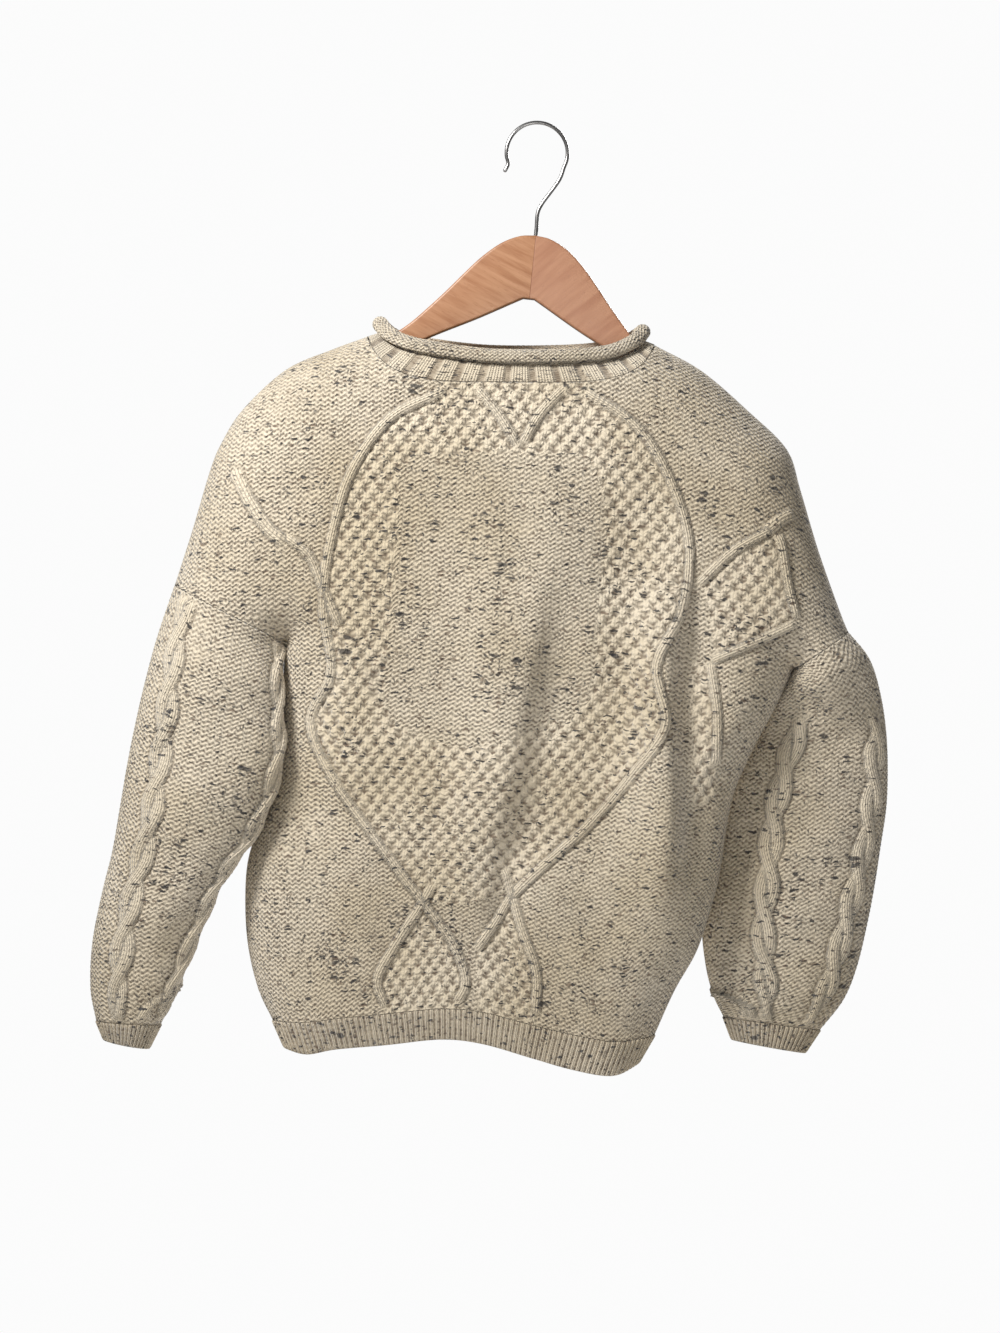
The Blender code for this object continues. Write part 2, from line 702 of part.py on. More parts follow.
class Sleeve:
    """A sleeve as sections round its length, which starts on the armhole's own ring."""

    def __init__(self, side, sections, cuff, cables, panels):
        self.side = side
        self.table = np.array(sections, float)
        self.cuff = np.array(cuff, float)
        self.panels = panels
        middles = (self.table[:, 0:2] + self.table[:, 2:4]) / 2
        self.places = lengths_along(middles)
        self.length = self.places[-1]
        self.cables = cables
        self.crease = spline(SLEEVE_CREASE.path) if side == "right" else None
        self.shares = self.places / self.length

    def section(self, share):
        """The section's six values at this share of the length."""
        fine = np.interp(np.clip(share, 0, 1), self.shares, np.arange(len(self.shares)))
        index = int(min(fine, len(self.shares) - 2))
        t = fine - index
        rows = self.table
        p1, p2 = rows[index], rows[index + 1]
        p0 = rows[index - 1] if index > 0 else 2 * p1 - p2
        p3 = rows[index + 2] if index + 2 < len(rows) else 2 * p2 - p1
        return 0.5 * (2 * p1 + (p2 - p0) * t + (2 * p0 - 5 * p1 + 4 * p2 - p3) * t**2
                      + (3 * p1 - p0 - 3 * p2 + p3) * t**3)

    def ring(self, degrees, share):
        """Points of the outer face, without cables, at these angles round one section."""
        angle = np.radians(np.asarray(degrees, float))
        values = self.section(share)
        outer, inner_fold = values[0:2], values[2:4]
        across = ((1 - np.cos(angle)) / 2)[:, None]
        flat = outer + (inner_fold - outer) * across
        y = values[4] - values[5] * np.sin(angle)
        weight = 1 - smooth_step(share / 0.16)
        if weight > 0:
            row = self.table[0]
            armhole = row[0:2] + (row[2:4] - row[0:2]) * np.clip(across, 0.002, 0.998)
            front = self.panels["front"].depth(armhole)
            back = self.panels["back"].depth(armhole)
            fore = smooth_step(np.sin(angle) * 40 + 0.5)
            matched = front * fore + back * (1 - fore)
            y = y * (1 - weight) + matched * weight
        if self.crease is not None:
            facing = np.clip(np.sin(angle), 0, 1)**0.7
            fade = smooth_step(share / 0.05)
            y = y - fold_height(SLEEVE_CREASE, self.crease, flat) * facing * fade
        if share <= 0:
            flat = flat + ARMHOLE_OUT[self.side] * SEAM_GAP
        return np.stack([flat[:, 0], y, flat[:, 1]], axis=1)

    def outward(self, degrees, share):
        """Directions out of the wall at these angles round one section."""
        degrees = np.asarray(degrees, float)
        if share <= 0:
            share_low, share_high = 0.0, 0.0
        else:
            share_low, share_high = max(share - 0.01, 0.001), min(share + 0.01, 1)
        around = self.ring(degrees + 2, share) - self.ring(degrees - 2, share)
        if share <= 0:
            out = ARMHOLE_OUT[self.side]
            along = np.tile(np.array([out[0], 0.0, out[1]]), (len(degrees), 1))
        elif share >= 1:
            values = self.section(1.0)
            fold = values[2:4] - values[0:2]
            fold /= np.linalg.norm(fold)
            square = np.array([fold[1], 0.0, -fold[0]])
            along = np.tile(square if square[2] < 0 else -square, (len(degrees), 1))
        else:
            along = self.ring(degrees, share_high) - self.ring(degrees, share_low)
        normal = np.cross(around, along)
        middle = self.ring(np.arange(0, 360, 30), share).mean(axis=0)
        away = (normal * (self.ring(degrees, share) - middle)).sum(axis=1)
        normal *= np.where(away < 0, -1.0, 1.0)[:, None]
        return normal / np.linalg.norm(normal, axis=1)[:, None]

    def cable_angle(self, cable, share):
        """Degrees of a cable's middle at this share of the length."""
        return float(np.interp(share, (0, 0.5, 1), cable))

    def columns(self, share):
        """Angles and cable heights of one row: four columns a cable, and two between cables."""
        run = share * self.length
        angles, heights = [], []
        spots = []
        for number, cable in enumerate(self.cables):
            middle = self.cable_angle(cable, share)
            ring = self.ring([middle - 2, middle + 2], share)
            per_degree = np.linalg.norm(ring[1] - ring[0]) / 4
            squeeze = 0.72 if share > 0.93 else 1.0
            half = ROPE_WIDTH / 2 / per_degree * squeeze
            turn = 2 * math.pi * run / ROPE_PITCH + number
            fade = smooth_step(share / 0.03) * smooth_step((1 - share) / 0.03)
            left = ROPE_HEIGHT * (0.62 + 0.38 * math.cos(turn)) * fade
            right = ROPE_HEIGHT * (0.62 - 0.38 * math.cos(turn)) * fade
            spots.append((middle, half, left, right))
        for number, (middle, half, left, right) in enumerate(spots):
            angles += [middle - half, middle - half * 0.42, middle + half * 0.42, middle + half]
            heights += [0.0, left, right, 0.0]
            following = spots[(number + 1) % len(spots)]
            begin = middle + half
            end = following[0] - following[1] + (360 if number == len(spots) - 1 else 0)
            for part in (1 / 3, 2 / 3):
                angles.append(begin + (end - begin) * part)
                heights.append(0.0)
        return np.array(angles), np.array(heights)

    def build(self):
        """The sleeve's solid."""
        count = round(self.length / ROPE_STEP)
        outer_rows, inner_rows = [], []
        for share in np.linspace(0, 1, count + 1):
            angles, heights = self.columns(share)
            outer_rows.append(self.ring(angles, share) + self.outward(angles, share) * heights[:, None])
        for share in np.linspace(0, 1, 14):
            angles = self.columns(share)[0][::2]
            inner_rows.append(self.ring(angles, share) - self.outward(angles, share) * WALL)
        return ring_solid(f"sleeve_{self.side}", outer_rows[::-1], inner_rows[::-1], closed=True)

    def build_cuff(self):
        """The ribbed cuff under the sleeve."""
        top = self.section(1.0)

        def base(degrees, down):
            angle = np.radians(np.asarray(degrees, float))
            values = top + (self.cuff - top) * down
            across = ((1 - np.cos(angle)) / 2)[:, None]
            flat = values[0:2] + (values[2:4] - values[0:2]) * across
            fold = top[2:4] - top[0:2]
            fold /= np.linalg.norm(fold)
            square = np.array([fold[1], -fold[0]])
            square = square if square[1] < 0 else -square
            flat = flat + square * SEAM_GAP
            return np.stack([flat[:, 0], values[4] - values[5] * np.sin(angle), flat[:, 1]], axis=1)

        fine = np.linspace(0, 360, 721)
        run = lengths_along(base(fine, 0.0))

        def even_angles(number):
            return np.interp(np.arange(number) / number * run[-1], run, fine)

        def outward(degrees, down):
            around = base(degrees + 2, down) - base(degrees - 2, down)
            fold = top[2:4] - top[0:2]
            fold /= np.linalg.norm(fold)
            along = np.array([fold[1], 0.0, -fold[0]])
            normal = np.cross(around, along)
            middle = base(np.arange(0, 360, 30), down).mean(axis=0)
            away = (normal * (base(degrees, down) - middle)).sum(axis=1)
            normal *= np.where(away < 0, -1.0, 1.0)[:, None]
            return normal / np.linalg.norm(normal, axis=1)[:, None]

        ribs = even_angles(2 * CUFF_RIBS)
        crest = np.where(np.arange(len(ribs)) % 2 == 1, FINE_RIB_HEIGHT, 0.0)
        plain = even_angles(16)
        outer_rows = [base(ribs, down) + outward(ribs, down) * crest[:, None] for down in (1.0, 0.0)]
        inner_rows = [base(plain, down) - outward(plain, down) * (WALL - 0.6) for down in (1.0, 0.0)]
        return ring_solid(f"cuff_{self.side}", outer_rows, inner_rows, closed=True)


class Neck:
    """The ribbed band picked up round the neck, and the edge that rolls outwards above it."""

    def __init__(self, panels):
        self.panels = panels
        self.rolls = {"front": spline(ROLL_FRONT, 2.0), "back": spline(ROLL_BACK, 2.0)}

    def low_edge(self):
        """The panels' neck edges as one ring, outer and inner points, lifted by the seam's gap."""
        outer, inner = [], []
        for side in ("front", "back"):
            panel = self.panels[side]
            points, across = panel.neck_edge()
            lift = np.stack([across[:, 0], np.zeros(len(points)), across[:, 1]], axis=1) * SEAM_GAP
            flat = np.stack([points[:, 0], panel.depth(points), points[:, 1]], axis=1) + lift
            wall = panel.inner(points, across) + lift
            for row in (flat, wall):
                row[[0, -1], 1] = 0.0
            order = slice(0, -1) if side == "front" else slice(-1, 0, -1)
            outer.append(flat[order])
            inner.append(wall[order])
        return np.vstack(outer), np.vstack(inner)

    def half_roll(self, side, shares):
        """The middle line of the rolled edge on one side."""
        flat = at_fractions(self.rolls[side], shares)
        sign = -1.0 if side == "front" else 1.0
        across = (flat[:, 0] - self.rolls[side][0, 0]) / (self.rolls[side][-1, 0] - self.rolls[side][0, 0])
        y = sign * NECK_HALF_DEPTH * np.clip(4 * across * (1 - across), 0, 1)**0.42
        return np.stack([flat[:, 0], y, flat[:, 1]], axis=1)

    def roll_frames(self):
        """The roll's stations: its middle line, and the directions up and outwards from it."""
        shares = half_round_shares(NECK_RIBS)[::2]
        path = np.vstack([self.half_roll("front", shares)[:-1], self.half_roll("back", shares)[:0:-1]])
        ahead = np.roll(path, -1, axis=0) - np.roll(path, 1, axis=0)
        ahead /= np.linalg.norm(ahead, axis=1)[:, None]
        up = np.tile([0.0, 0.0, 1.0], (len(path), 1))
        up -= (up * ahead).sum(axis=1)[:, None] * ahead
        up /= np.linalg.norm(up, axis=1)[:, None]
        out = np.cross(up, ahead)
        away = (out * (path - path.mean(axis=0))).sum(axis=1)
        out *= np.where(away < 0, -1.0, 1.0)[:, None]
        return path, up, out

    @staticmethod
    def doubled(row):
        """A ring's points with the middle of each chord between them."""
        whole = np.empty((2 * len(row), 3))
        whole[::2] = row
        whole[1::2] = (row + np.roll(row, -1, axis=0)) / 2
        return whole

    def build_band(self):
        """The ribbed neckband."""
        low, low_wall = self.low_edge()
        count = len(low)
        roll, up, _ = [self.doubled(row) for row in self.roll_frames()]
        centre = roll.mean(axis=0)

        def outwards(row):
            ahead = np.roll(row, -1, axis=0) - np.roll(row, 1, axis=0)
            flat = np.stack([ahead[:, 1], -ahead[:, 0], np.zeros(len(ahead))], axis=1)
            flat /= np.linalg.norm(flat, axis=1)[:, None]
            away = (flat * (row - centre)).sum(axis=1)
            return flat * np.where(away < 0, -1.0, 1.0)[:, None]

        out_low, out_high = outwards(low), outwards(roll)
        high = roll - out_high * 1.0 - up * (ROLL_RADIUS + 0.1)
        crest = np.where(np.arange(count) % 2 == 1, NECK_RIB_HEIGHT, 0.0)[:, None]
        outer_rows, inner_rows = [], []
        for share, raised in ((0.0, 0.0), (0.2, 1.0), (1.0, 0.6)):
            row = low + (high - low) * share
            out = out_low + (out_high - out_low) * share
            outer_rows.append(row + out * crest * raised)
            inner_rows.append(low_wall if share == 0 else row - out * (WALL - 0.4))
        return ring_solid("neck_rib", outer_rows, inner_rows, closed=True)

    def build_roll(self):
        """The rolled edge: a wall curled outwards and under, swept round the neck."""
        path, up, out = self.roll_frames()
        stations = len(path)
        outer_turns = np.radians(np.linspace(252, -42, 8))
        inner_turns = np.radians(np.linspace(-42, 252, 5))
        profile = [(ROLL_RADIUS * math.cos(turn), ROLL_RADIUS * math.sin(turn)) for turn in outer_turns]
        hollow = ROLL_RADIUS - ROLL_WALL
        profile += [(hollow * math.cos(turn), hollow * math.sin(turn)) for turn in inner_turns]
        points, faces = [], []
        for station in range(stations):
            for side, height in profile:
                points.append(path[station] + out[station] * side + up[station] * height)
        size = len(profile)
        for station in range(stations):
            following = (station + 1) % stations
            for index in range(size):
                ahead_index = (index + 1) % size
                faces.append((station * size + index, station * size + ahead_index,
                              following * size + ahead_index, following * size + index))
        return make_object("neck_roll", points, faces, WOOL, 0.95)


def tilted(point):
    """A point of the hanger's own frame, tilted and hung under the hook."""
    x, z = point
    cos, sin = math.cos(HANGER_TILT), math.sin(HANGER_TILT)
    return x * cos + z * sin + HUMP_TOP[0], -x * sin + z * cos + HUMP_TOP[1]


def hook_path():
    """The hook's middle line, from the shank's foot in the wood to its free end."""
    foot = tilted((0, -SHANK_DEPTH + 1.0))
    neck = [foot, tilted((0, -6)), tilted((0.2, 6)), (0.6, -80), (4.8, -71), (13.0, -60), (20.6, -49)]
    middle = (0.0, WIRE / 2 - HOOK_RADIUS)
    arc = []
    for degrees in range(-28, 205, 12):
        turn = math.radians(degrees)
        arc.append((middle[0] + HOOK_RADIUS * math.cos(turn), middle[1] + HOOK_RADIUS * math.sin(turn)))
    tip = (arc[-1][0] - 3.0, arc[-1][1] - 6.5)
    return evenly(spline(neck + arc + [tip], 2.0), 5.0)


def build_hook():
    """The bent wire hook."""
    path = hook_path()
    curve = bpy.data.curves.new("hook", "CURVE")
    curve.dimensions = "3D"
    curve.bevel_depth = WIRE / 2 * MM
    curve.bevel_resolution = 1
    curve.use_fill_caps = True
    line = curve.splines.new("POLY")
    line.points.add(len(path) - 1)
    for point, (x, z) in zip(line.points, path):
        point.co = (x * MM, 0.0, z * MM, 1.0)
    obj = bpy.data.objects.new("hook", curve)
    bpy.context.scene.collection.objects.link(obj)
    add_material(obj, STEEL, 0.25, 1.0)
    return obj


def build_hanger():
    """The wooden hanger: one flat board with eased edges and a hole for the hook's shank."""
    half = list(HANGER_TOP[1:]) + list(HANGER_LOW)
    outline = [tilted((0, 0))] + [tilted(point) for point in half]
    outline += [tilted((-x, z)) for x, z in half[::-1]]
    mesh = bpy.data.meshes.new("hanger")
    work = bmesh.new()
    front = [work.verts.new((x * MM, -HANGER_THICK / 2 * MM, z * MM)) for x, z in outline]
    face = work.faces.new(front)
    work.normal_update()
    if face.normal.y > 0:
        face.normal_flip()
    pushed = bmesh.ops.extrude_face_region(work, geom=[face])
    moved = [item for item in pushed["geom"] if isinstance(item, bmesh.types.BMVert)]
    bmesh.ops.translate(work, verts=moved, vec=(0, HANGER_THICK * MM, 0))
    bmesh.ops.recalc_face_normals(work, faces=work.faces)
    rims = [edge for edge in work.edges if len({round(vert.co.y, 5) for vert in edge.verts}) == 1]
    bmesh.ops.bevel(work, geom=rims, offset=2.2 * MM, segments=2, profile=0.5, affect="EDGES")
    work.to_mesh(mesh)
    work.free()
    mesh.shade_smooth()
    mesh.set_sharp_from_angle(angle=math.radians(40))
    obj = bpy.data.objects.new("hanger", mesh)
    bpy.context.scene.collection.objects.link(obj)
    add_material(obj, BEECH, 0.45)

    low, high = tilted((0, -SHANK_DEPTH)), tilted((0, 10))
    bpy.ops.mesh.primitive_cylinder_add(vertices=16, radius=(WIRE / 2 + SEAM_GAP) * MM,
                                        depth=math.dist(low, high) * MM)
    cutter = bpy.context.object
    cutter.name = "shank_cutter"
    cutter.location = ((low[0] + high[0]) / 2 * MM, 0, (low[1] + high[1]) / 2 * MM)
    cutter.rotation_euler = (0, HANGER_TILT, 0)
    cutter.hide_render = True
    cutter.display_type = "WIRE"
    cut = obj.modifiers.new("shank_hole", "BOOLEAN")
    cut.object = cutter
    cut.operation = "DIFFERENCE"
    cut.solver = "EXACT"
    return obj


def build():
    """Build every piece."""
    clear_scene()
    panels = {side: Panel(side) for side in ("front", "back")}
    for panel in panels.values():
        build_panel(panel)
        build_hem(panel)
    for side, sections, cuff, cables in (
        ("left", SLEEVE_LEFT, CUFF_LEFT, CABLES_LEFT),
        ("right", SLEEVE_RIGHT, CUFF_RIGHT, CABLES_RIGHT),
    ):
        sleeve = Sleeve(side, sections, cuff, cables, panels)
        sleeve.build()
        sleeve.build_cuff()
    neck = Neck(panels)
    neck.build_band()
    neck.build_roll()
    build_hanger()
    build_hook()


build()
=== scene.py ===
"""A hand-knitted wool sweater hanging on a wooden hanger, dressed for a studio picture.

The forms repeat the sizes of the construction solids, in millimetres, and become
metres when a mesh is made. X runs across the garment, Z is up, and the front panel
faces -Y. The origin is the inner top of the hook.
"""

import logging
import math
from dataclasses import dataclass, field, replace
from enum import Enum
from typing import Any, Sequence

import bmesh
import bpy
import numpy as np
from mathutils import Matrix, Vector
from mathutils.geometry import delaunay_2d_cdt

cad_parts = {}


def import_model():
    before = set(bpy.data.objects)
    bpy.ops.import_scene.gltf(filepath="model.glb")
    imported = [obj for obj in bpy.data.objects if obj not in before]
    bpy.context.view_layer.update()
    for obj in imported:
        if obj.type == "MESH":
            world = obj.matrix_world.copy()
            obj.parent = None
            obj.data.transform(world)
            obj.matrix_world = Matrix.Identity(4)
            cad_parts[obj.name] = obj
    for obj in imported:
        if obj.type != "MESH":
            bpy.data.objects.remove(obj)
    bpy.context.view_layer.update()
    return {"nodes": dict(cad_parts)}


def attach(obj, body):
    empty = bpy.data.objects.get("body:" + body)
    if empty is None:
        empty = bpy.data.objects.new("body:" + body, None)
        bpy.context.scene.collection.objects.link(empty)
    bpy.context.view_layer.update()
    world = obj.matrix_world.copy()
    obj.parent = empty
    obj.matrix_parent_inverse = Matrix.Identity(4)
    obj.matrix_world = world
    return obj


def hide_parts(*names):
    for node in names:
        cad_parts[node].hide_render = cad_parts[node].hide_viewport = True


LOG = logging.getLogger("sweater")
MM = 0.001

WALL = 3.6
SEAM_GAP = 0.3
HALF_GAP = SEAM_GAP / 2
SEAM_REACH = 62.0

# One stitch of the plain knitting, and how finely the meshes follow it
STITCH_WIDTH = 6.5
STITCH_HEIGHT = 4.35
ACROSS_STEP = STITCH_WIDTH / 4
DOWN_STEP = STITCH_HEIGHT / 2
FIRST_ROW = -811
ROW_SHIFT = 0.25
GROUND_RELIEF = 0.42
GROOVE_DEPTH = 0.9
TINY = 1e-6

RIB_WIDTH = 10.0
RIB_HEIGHT = 3.8
ROPE_PITCH = 43.0
ROPE_WIDTH = 23.0
ROPE_HEIGHT = 5.0
HEM_RIBS = 79
CUFF_RIBS = 46
NECK_RIBS = 28

HANGER_TILT = math.radians(6.0)
HANGER_THICK = 13.0
HUMP_TOP = (-1.4, -100.4)
WIRE = 3.4
HOOK_RADIUS = 27.5
SHANK_DEPTH = 14.0

Points = np.ndarray
Pairs = Sequence[tuple[float, float]]

BODY_DEPTHS = ((-860, 37), (-800, 40), (-700, 45), (-450, 50), (-280, 48), (-180, 44))
SIDE_LEFT = (
    (-238, -806), (-251, -779), (-260, -743), (-263, -705), (-261, -665), (-251, -632),
    (-239, -600), (-231, -560), (-229, -515), (-227, -466),
)
SIDE_RIGHT = (
    (106, -819), (124, -779), (144, -743), (158, -700), (165, -671), (170, -635),
    (178, -599), (196, -559), (214, -525), (230, -491),
)
SHOULDER_LEFT = (
    (-326, -415), (-310, -365), (-294, -311), (-284, -287), (-265, -257), (-226, -221),
    (-185, -203), (-152, -191),
)
SHOULDER_RIGHT = (
    (280, -457), (272, -437), (253, -383), (237, -329), (225, -293), (191, -259), (148, -222), (106, -199),
)
HEM_TOP = {
    "front": ((-238, -806), (-206, -806), (-180, -802), (-135, -798), (-86, -793), (-49, -796),
              (-4, -808), (35, -817), (70, -823), (106, -819)),
    "back": ((-238, -806), (-200, -802), (-150, -800), (-60, -797), (20, -805), (70, -814), (106, -819)),
}
HEM_LOW = {
    "front": ((-227, -831), (-206, -835), (-180, -830), (-135, -826), (-86, -821), (-49, -825),
              (-4, -838), (31, -848), (67, -854), (91, -845)),
    "back": ((-227, -831), (-200, -831), (-150, -829), (-60, -826), (20, -834), (60, -841), (91, -845)),
}
NECK = {
    "front": ((-152, -191), (-145, -207), (-131, -221), (-110, -230), (-80, -234), (-23, -235),
              (35, -235), (62, -232), (82, -226), (97, -215), (106, -199)),
    "back": ((-152, -191), (-145, -204), (-131, -215), (-110, -222), (-80, -226), (-23, -227),
             (35, -227), (62, -225), (82, -220), (97, -211), (106, -199)),
}
ROLL = {
    "front": ((-141, -180), (-133, -190), (-119, -198), (-96, -204), (-51, -211), (-6, -212.5),
              (39, -211), (66, -207), (82, -200), (90, -194), (95, -187)),
    "back": ((-141, -180), (-133, -187), (-119, -193), (-96, -197), (-51, -202), (-6, -203),
             (39, -202), (66, -199), (82, -194), (90, -190), (95, -187)),
}
NECK_HALF_DEPTH = 43.0
ROLL_RADIUS = 7.0
ROLL_WALL = 3.2

HANGER_TOP = (
    (0, 0), (14, -2), (30, -10), (46, -24), (60, -40), (74, -57), (88, -73), (104, -90),
    (120, -103), (137.5, -113.5), (170, -129.5), (196, -142), (204, -148),
)
HANGER_LOW = (
    (205, -157), (196, -163), (170, -155), (137.5, -136), (91, -104.5), (45, -80), (14, -62.5), (5, -57.5),
)


class Side(Enum):
    """Which half of the body a panel is."""

    FRONT = "front"
    BACK = "back"


class Arm(Enum):
    """Which sleeve, as seen from the front."""

    LEFT = "left"
    RIGHT = "right"


class FoldKind(Enum):
    """A ridge stands up along its path; a step is raised on the left of it and drops on the right."""

    STEP = "step"
    RIDGE = "ridge"


@dataclass(frozen=True)
class Fold:
    """A fold of the hanging cloth: heights are outwards, and paths run down."""

    kind: FoldKind
    height: float
    edge: float
    reach: float
    path: Pairs


def ridge(height: float, reach: float, path: Pairs) -> Fold:
    """A fold that stands up, or sinks where its height is negative."""
    return Fold(FoldKind.RIDGE, height, 0, reach, path)


def drop(height: float, edge: float, reach: float, path: Pairs) -> Fold:
    """A fold that drops over an edge."""
    return Fold(FoldKind.STEP, height, edge, reach, path)


@dataclass(frozen=True)
class Cord:
    """A travelling rib of the pattern: the points that it runs through and its width."""

    name: str
    path: Pairs
    width: float = RIB_WIDTH


@dataclass(frozen=True)
class Section:
    """A sleeve's section: the outer fold, the inner fold, the middle's y and half the thickness."""

    outer_x: float
    outer_z: float
    inner_x: float
    inner_z: float
    mid_y: float
    half: float

    def row(self) -> list[float]:
        """The six values in order."""
        return [self.outer_x, self.outer_z, self.inner_x, self.inner_z, self.mid_y, self.half]


FOLDS = {
    Side.FRONT: (
        drop(6.5, 7, 46,
             ((146, -380), (135, -416), (127, -453), (124, -496), (125, -578), (129, -640), (131, -720))),
        ridge(5, 42, ((15, -290), (2, -430), (-11, -518), (-33, -660))),
        ridge(-7, 46, ((58, -470), (42, -560), (10, -690))),
        ridge(-8, 26, ((-205, -430), (-203, -520), (-212, -610), (-222, -670))),
        ridge(4, 40, ((-150, -600), (-170, -700), (-168, -790))),
    ),
    Side.BACK: (
        ridge(-6, 48, ((60, -330), (52, -480), (70, -640))),
        ridge(5, 44, ((-60, -420), (-80, -560), (-110, -720))),
        ridge(-5, 36, ((-190, -440), (-180, -560), (-205, -690))),
    ),
}
WRINKLES = {
    Side.FRONT: (
        ridge(3.2, 15, ((208, -515), (160, -560), (120, -630))),
        ridge(-3.4, 15, ((190, -556), (150, -612), (116, -700))),
        ridge(2.6, 15, ((-214, -480), (-172, -530), (-140, -600))),
        ridge(-2.6, 17, ((-216, -560), (-182, -622), (-160, -710))),
        ridge(2.6, 18, ((70, -640), (44, -720), (36, -800))),
        drop(4.6, 9, 34, ((20, -370), (8, -440), (-6, -520), (-22, -600), (-38, -680), (-48, -760))),
        ridge(-6.0, 20, ((30, -400), (16, -500), (0, -590), (-26, -680), (-40, -780))),
        ridge(7.5, 18, ((112, -400), (106, -470), (107, -560), (112, -640), (112, -730))),
        ridge(-6.5, 24, ((74, -520), (66, -600), (52, -680), (44, -760))),
        ridge(4.5, 24, ((-40, -280), (-42, -440), (-56, -600), (-76, -720))),
        ridge(-5.5, 30, ((-190, -580), (-196, -680), (-186, -790))),
        ridge(2.2, 15, ((-90, -560), (-112, -640), (-104, -740))),
        ridge(-6.5, 26, ((96, -300), (82, -400), (84, -500), (70, -600))),
        ridge(2.0, 16, ((-150, -300), (-190, -340), (-240, -400))),
    ),
    Side.BACK: (
        ridge(3.0, 16, ((200, -520), (150, -570), (118, -660))),
        ridge(2.8, 16, ((-210, -490), (-160, -550), (-120, -640))),
        ridge(-2.8, 18, ((-20, -380), (-36, -520), (-30, -680))),
        ridge(2.4, 18, ((10, -600), (20, -700), (14, -790))),
    ),
}
SLEEVE_CREASE = drop(6.0, 6, 34, ((226, -492), (242, -512), (266, -530), (294, -555), (318, -578)))

CORDS = (
    Cord("medallion_right", (
        (42, -243), (88, -274), (119, -324), (135, -381), (128, -438), (106, -487), (113, -540), (86, -583),
        (44, -631), (-16, -686), (-38, -717), (-55, -741))),
    Cord("medallion_left", (
        (-84, -243), (-131, -267), (-165, -314), (-182, -368), (-191, -430), (-184, -493), (-203, -537),
        (-184, -585), (-143, -644), (-102, -698), (-76, -734), (-64, -768), (-72, -788))),
    Cord("left_loop_outer", ((-93, -682), (-107, -706), (-129, -740), (-143, -768), (-135, -792))),
    Cord("right_loop_outer", ((-30, -668), (-22, -694), (-14, -722), (-1, -761), (-2, -799))),
    Cord("neck_vee_left", ((-54, -240), (-34, -264), (-17, -292))),
    Cord("neck_vee_right", ((24, -240), (3, -262), (-13, -290))),
    Cord("side_arc_left", ((-224, -372), (-203, -390), (-191, -418), (-176, -452))),
    Cord("diamond_top", ((143, -415), (175, -385), (209, -366))),
    Cord("diamond_rope", ((203, -369), (217, -357), (230, -351)), RIB_WIDTH + 3),
    Cord("diamond_right", ((214, -370), (218, -384), (223, -416), (231, -446))),
    Cord("diamond_low", ((231, -449), (196, -465), (155, -483))),
    Cord("diamond_tail", ((154, -484), (160, -531), (159, -576))),
    Cord("shoulder_rope_left", ((-270, -312), (-256, -341), (-241, -364), (-224, -378)), RIB_WIDTH + 4),
)

# Fields of moss stitch, and the plain field that lies inside the medallion
MOSS_FIELDS = (
    ((-84, -236), (-131, -262), (-165, -314), (-182, -368), (-191, -430), (-184, -493), (-203, -537),
     (-184, -585), (-143, -644), (-102, -698), (-62, -700), (-16, -686), (44, -631), (86, -583), (113, -540),
     (106, -487), (128, -438), (135, -381), (119, -324), (88, -274), (42, -236)),
    ((-98, -704), (-76, -734), (-64, -768), (-72, -797), (-135, -799), (-143, -768), (-129, -740),
     (-107, -706)),
    ((-24, -692), (-14, -722), (-1, -761), (-2, -805), (-52, -797), (-55, -740), (-38, -717)),
    ((148, -410), (175, -385), (212, -370), (223, -416), (228, -450), (196, -465), (160, -483)),
    ((138, -485), (156, -488), (160, -531), (158, -608), (140, -612)),
)
PLAIN_FIELD = ((-122, -310), (-96, -300), (20, -300), (51, -312), (62, -370), (55, -430), (46, -518),
               (-8, -548), (-58, -560), (-110, -548), (-135, -518), (-126, -412))

SLEEVES = {
    Arm.LEFT: (
        Section(-326, -415, -227, -466, 0, 46), Section(-338, -452, -227.9, -489, -14, 44),
        Section(-349, -493, -227, -529, -18, 42), Section(-358, -532, -226, -565, -22, 40),
        Section(-366, -572, -235, -604, -24, 40), Section(-373, -613, -254, -643, -24, 40),
        Section(-380, -653, -274, -670, -23, 39), Section(-389, -689, -289, -698, -22, 38),
        Section(-398, -734, -306, -739, -20, 36), Section(-400, -775, -323, -779, -19, 32),
        Section(-395, -805, -337, -808, -18, 27),
    ),
    Arm.RIGHT: (
        Section(280, -457, 230, -491, 0, 34), Section(299, -481, 224.4, -504, 5, 36),
        Section(310, -512, 214, -524, 15, 35), Section(316, -545, 201.5, -547, 24, 33),
        Section(318, -580, 184.5, -577, 28, 31), Section(317, -615, 171, -611, 30, 30),
        Section(312, -650, 163.5, -648, 31, 30), Section(306, -689, 156.5, -686, 31, 29),
        Section(299, -725, 150, -722, 31, 28), Section(290, -761, 153, -758, 30, 26),
        Section(278, -790, 160, -786, 29, 23), Section(257, -817, 169, -805, 28, 18),
    ),
}
CUFFS = {
    Arm.LEFT: Section(-388, -822, -348, -830, -18, 22),
    Arm.RIGHT: Section(243, -838, 177, -826, 28, 15),
}

# Rope cables: degrees round the section at the armhole, half way and at the cuff
CABLES = {
    Arm.LEFT: ((46, 60, 74), (158, 160, 150), (226, 224, 222), (306, 302, 296)),
    Arm.RIGHT: ((34, 38, 52), (118, 112, 100), (232, 236, 240), (310, 306, 300)),
}


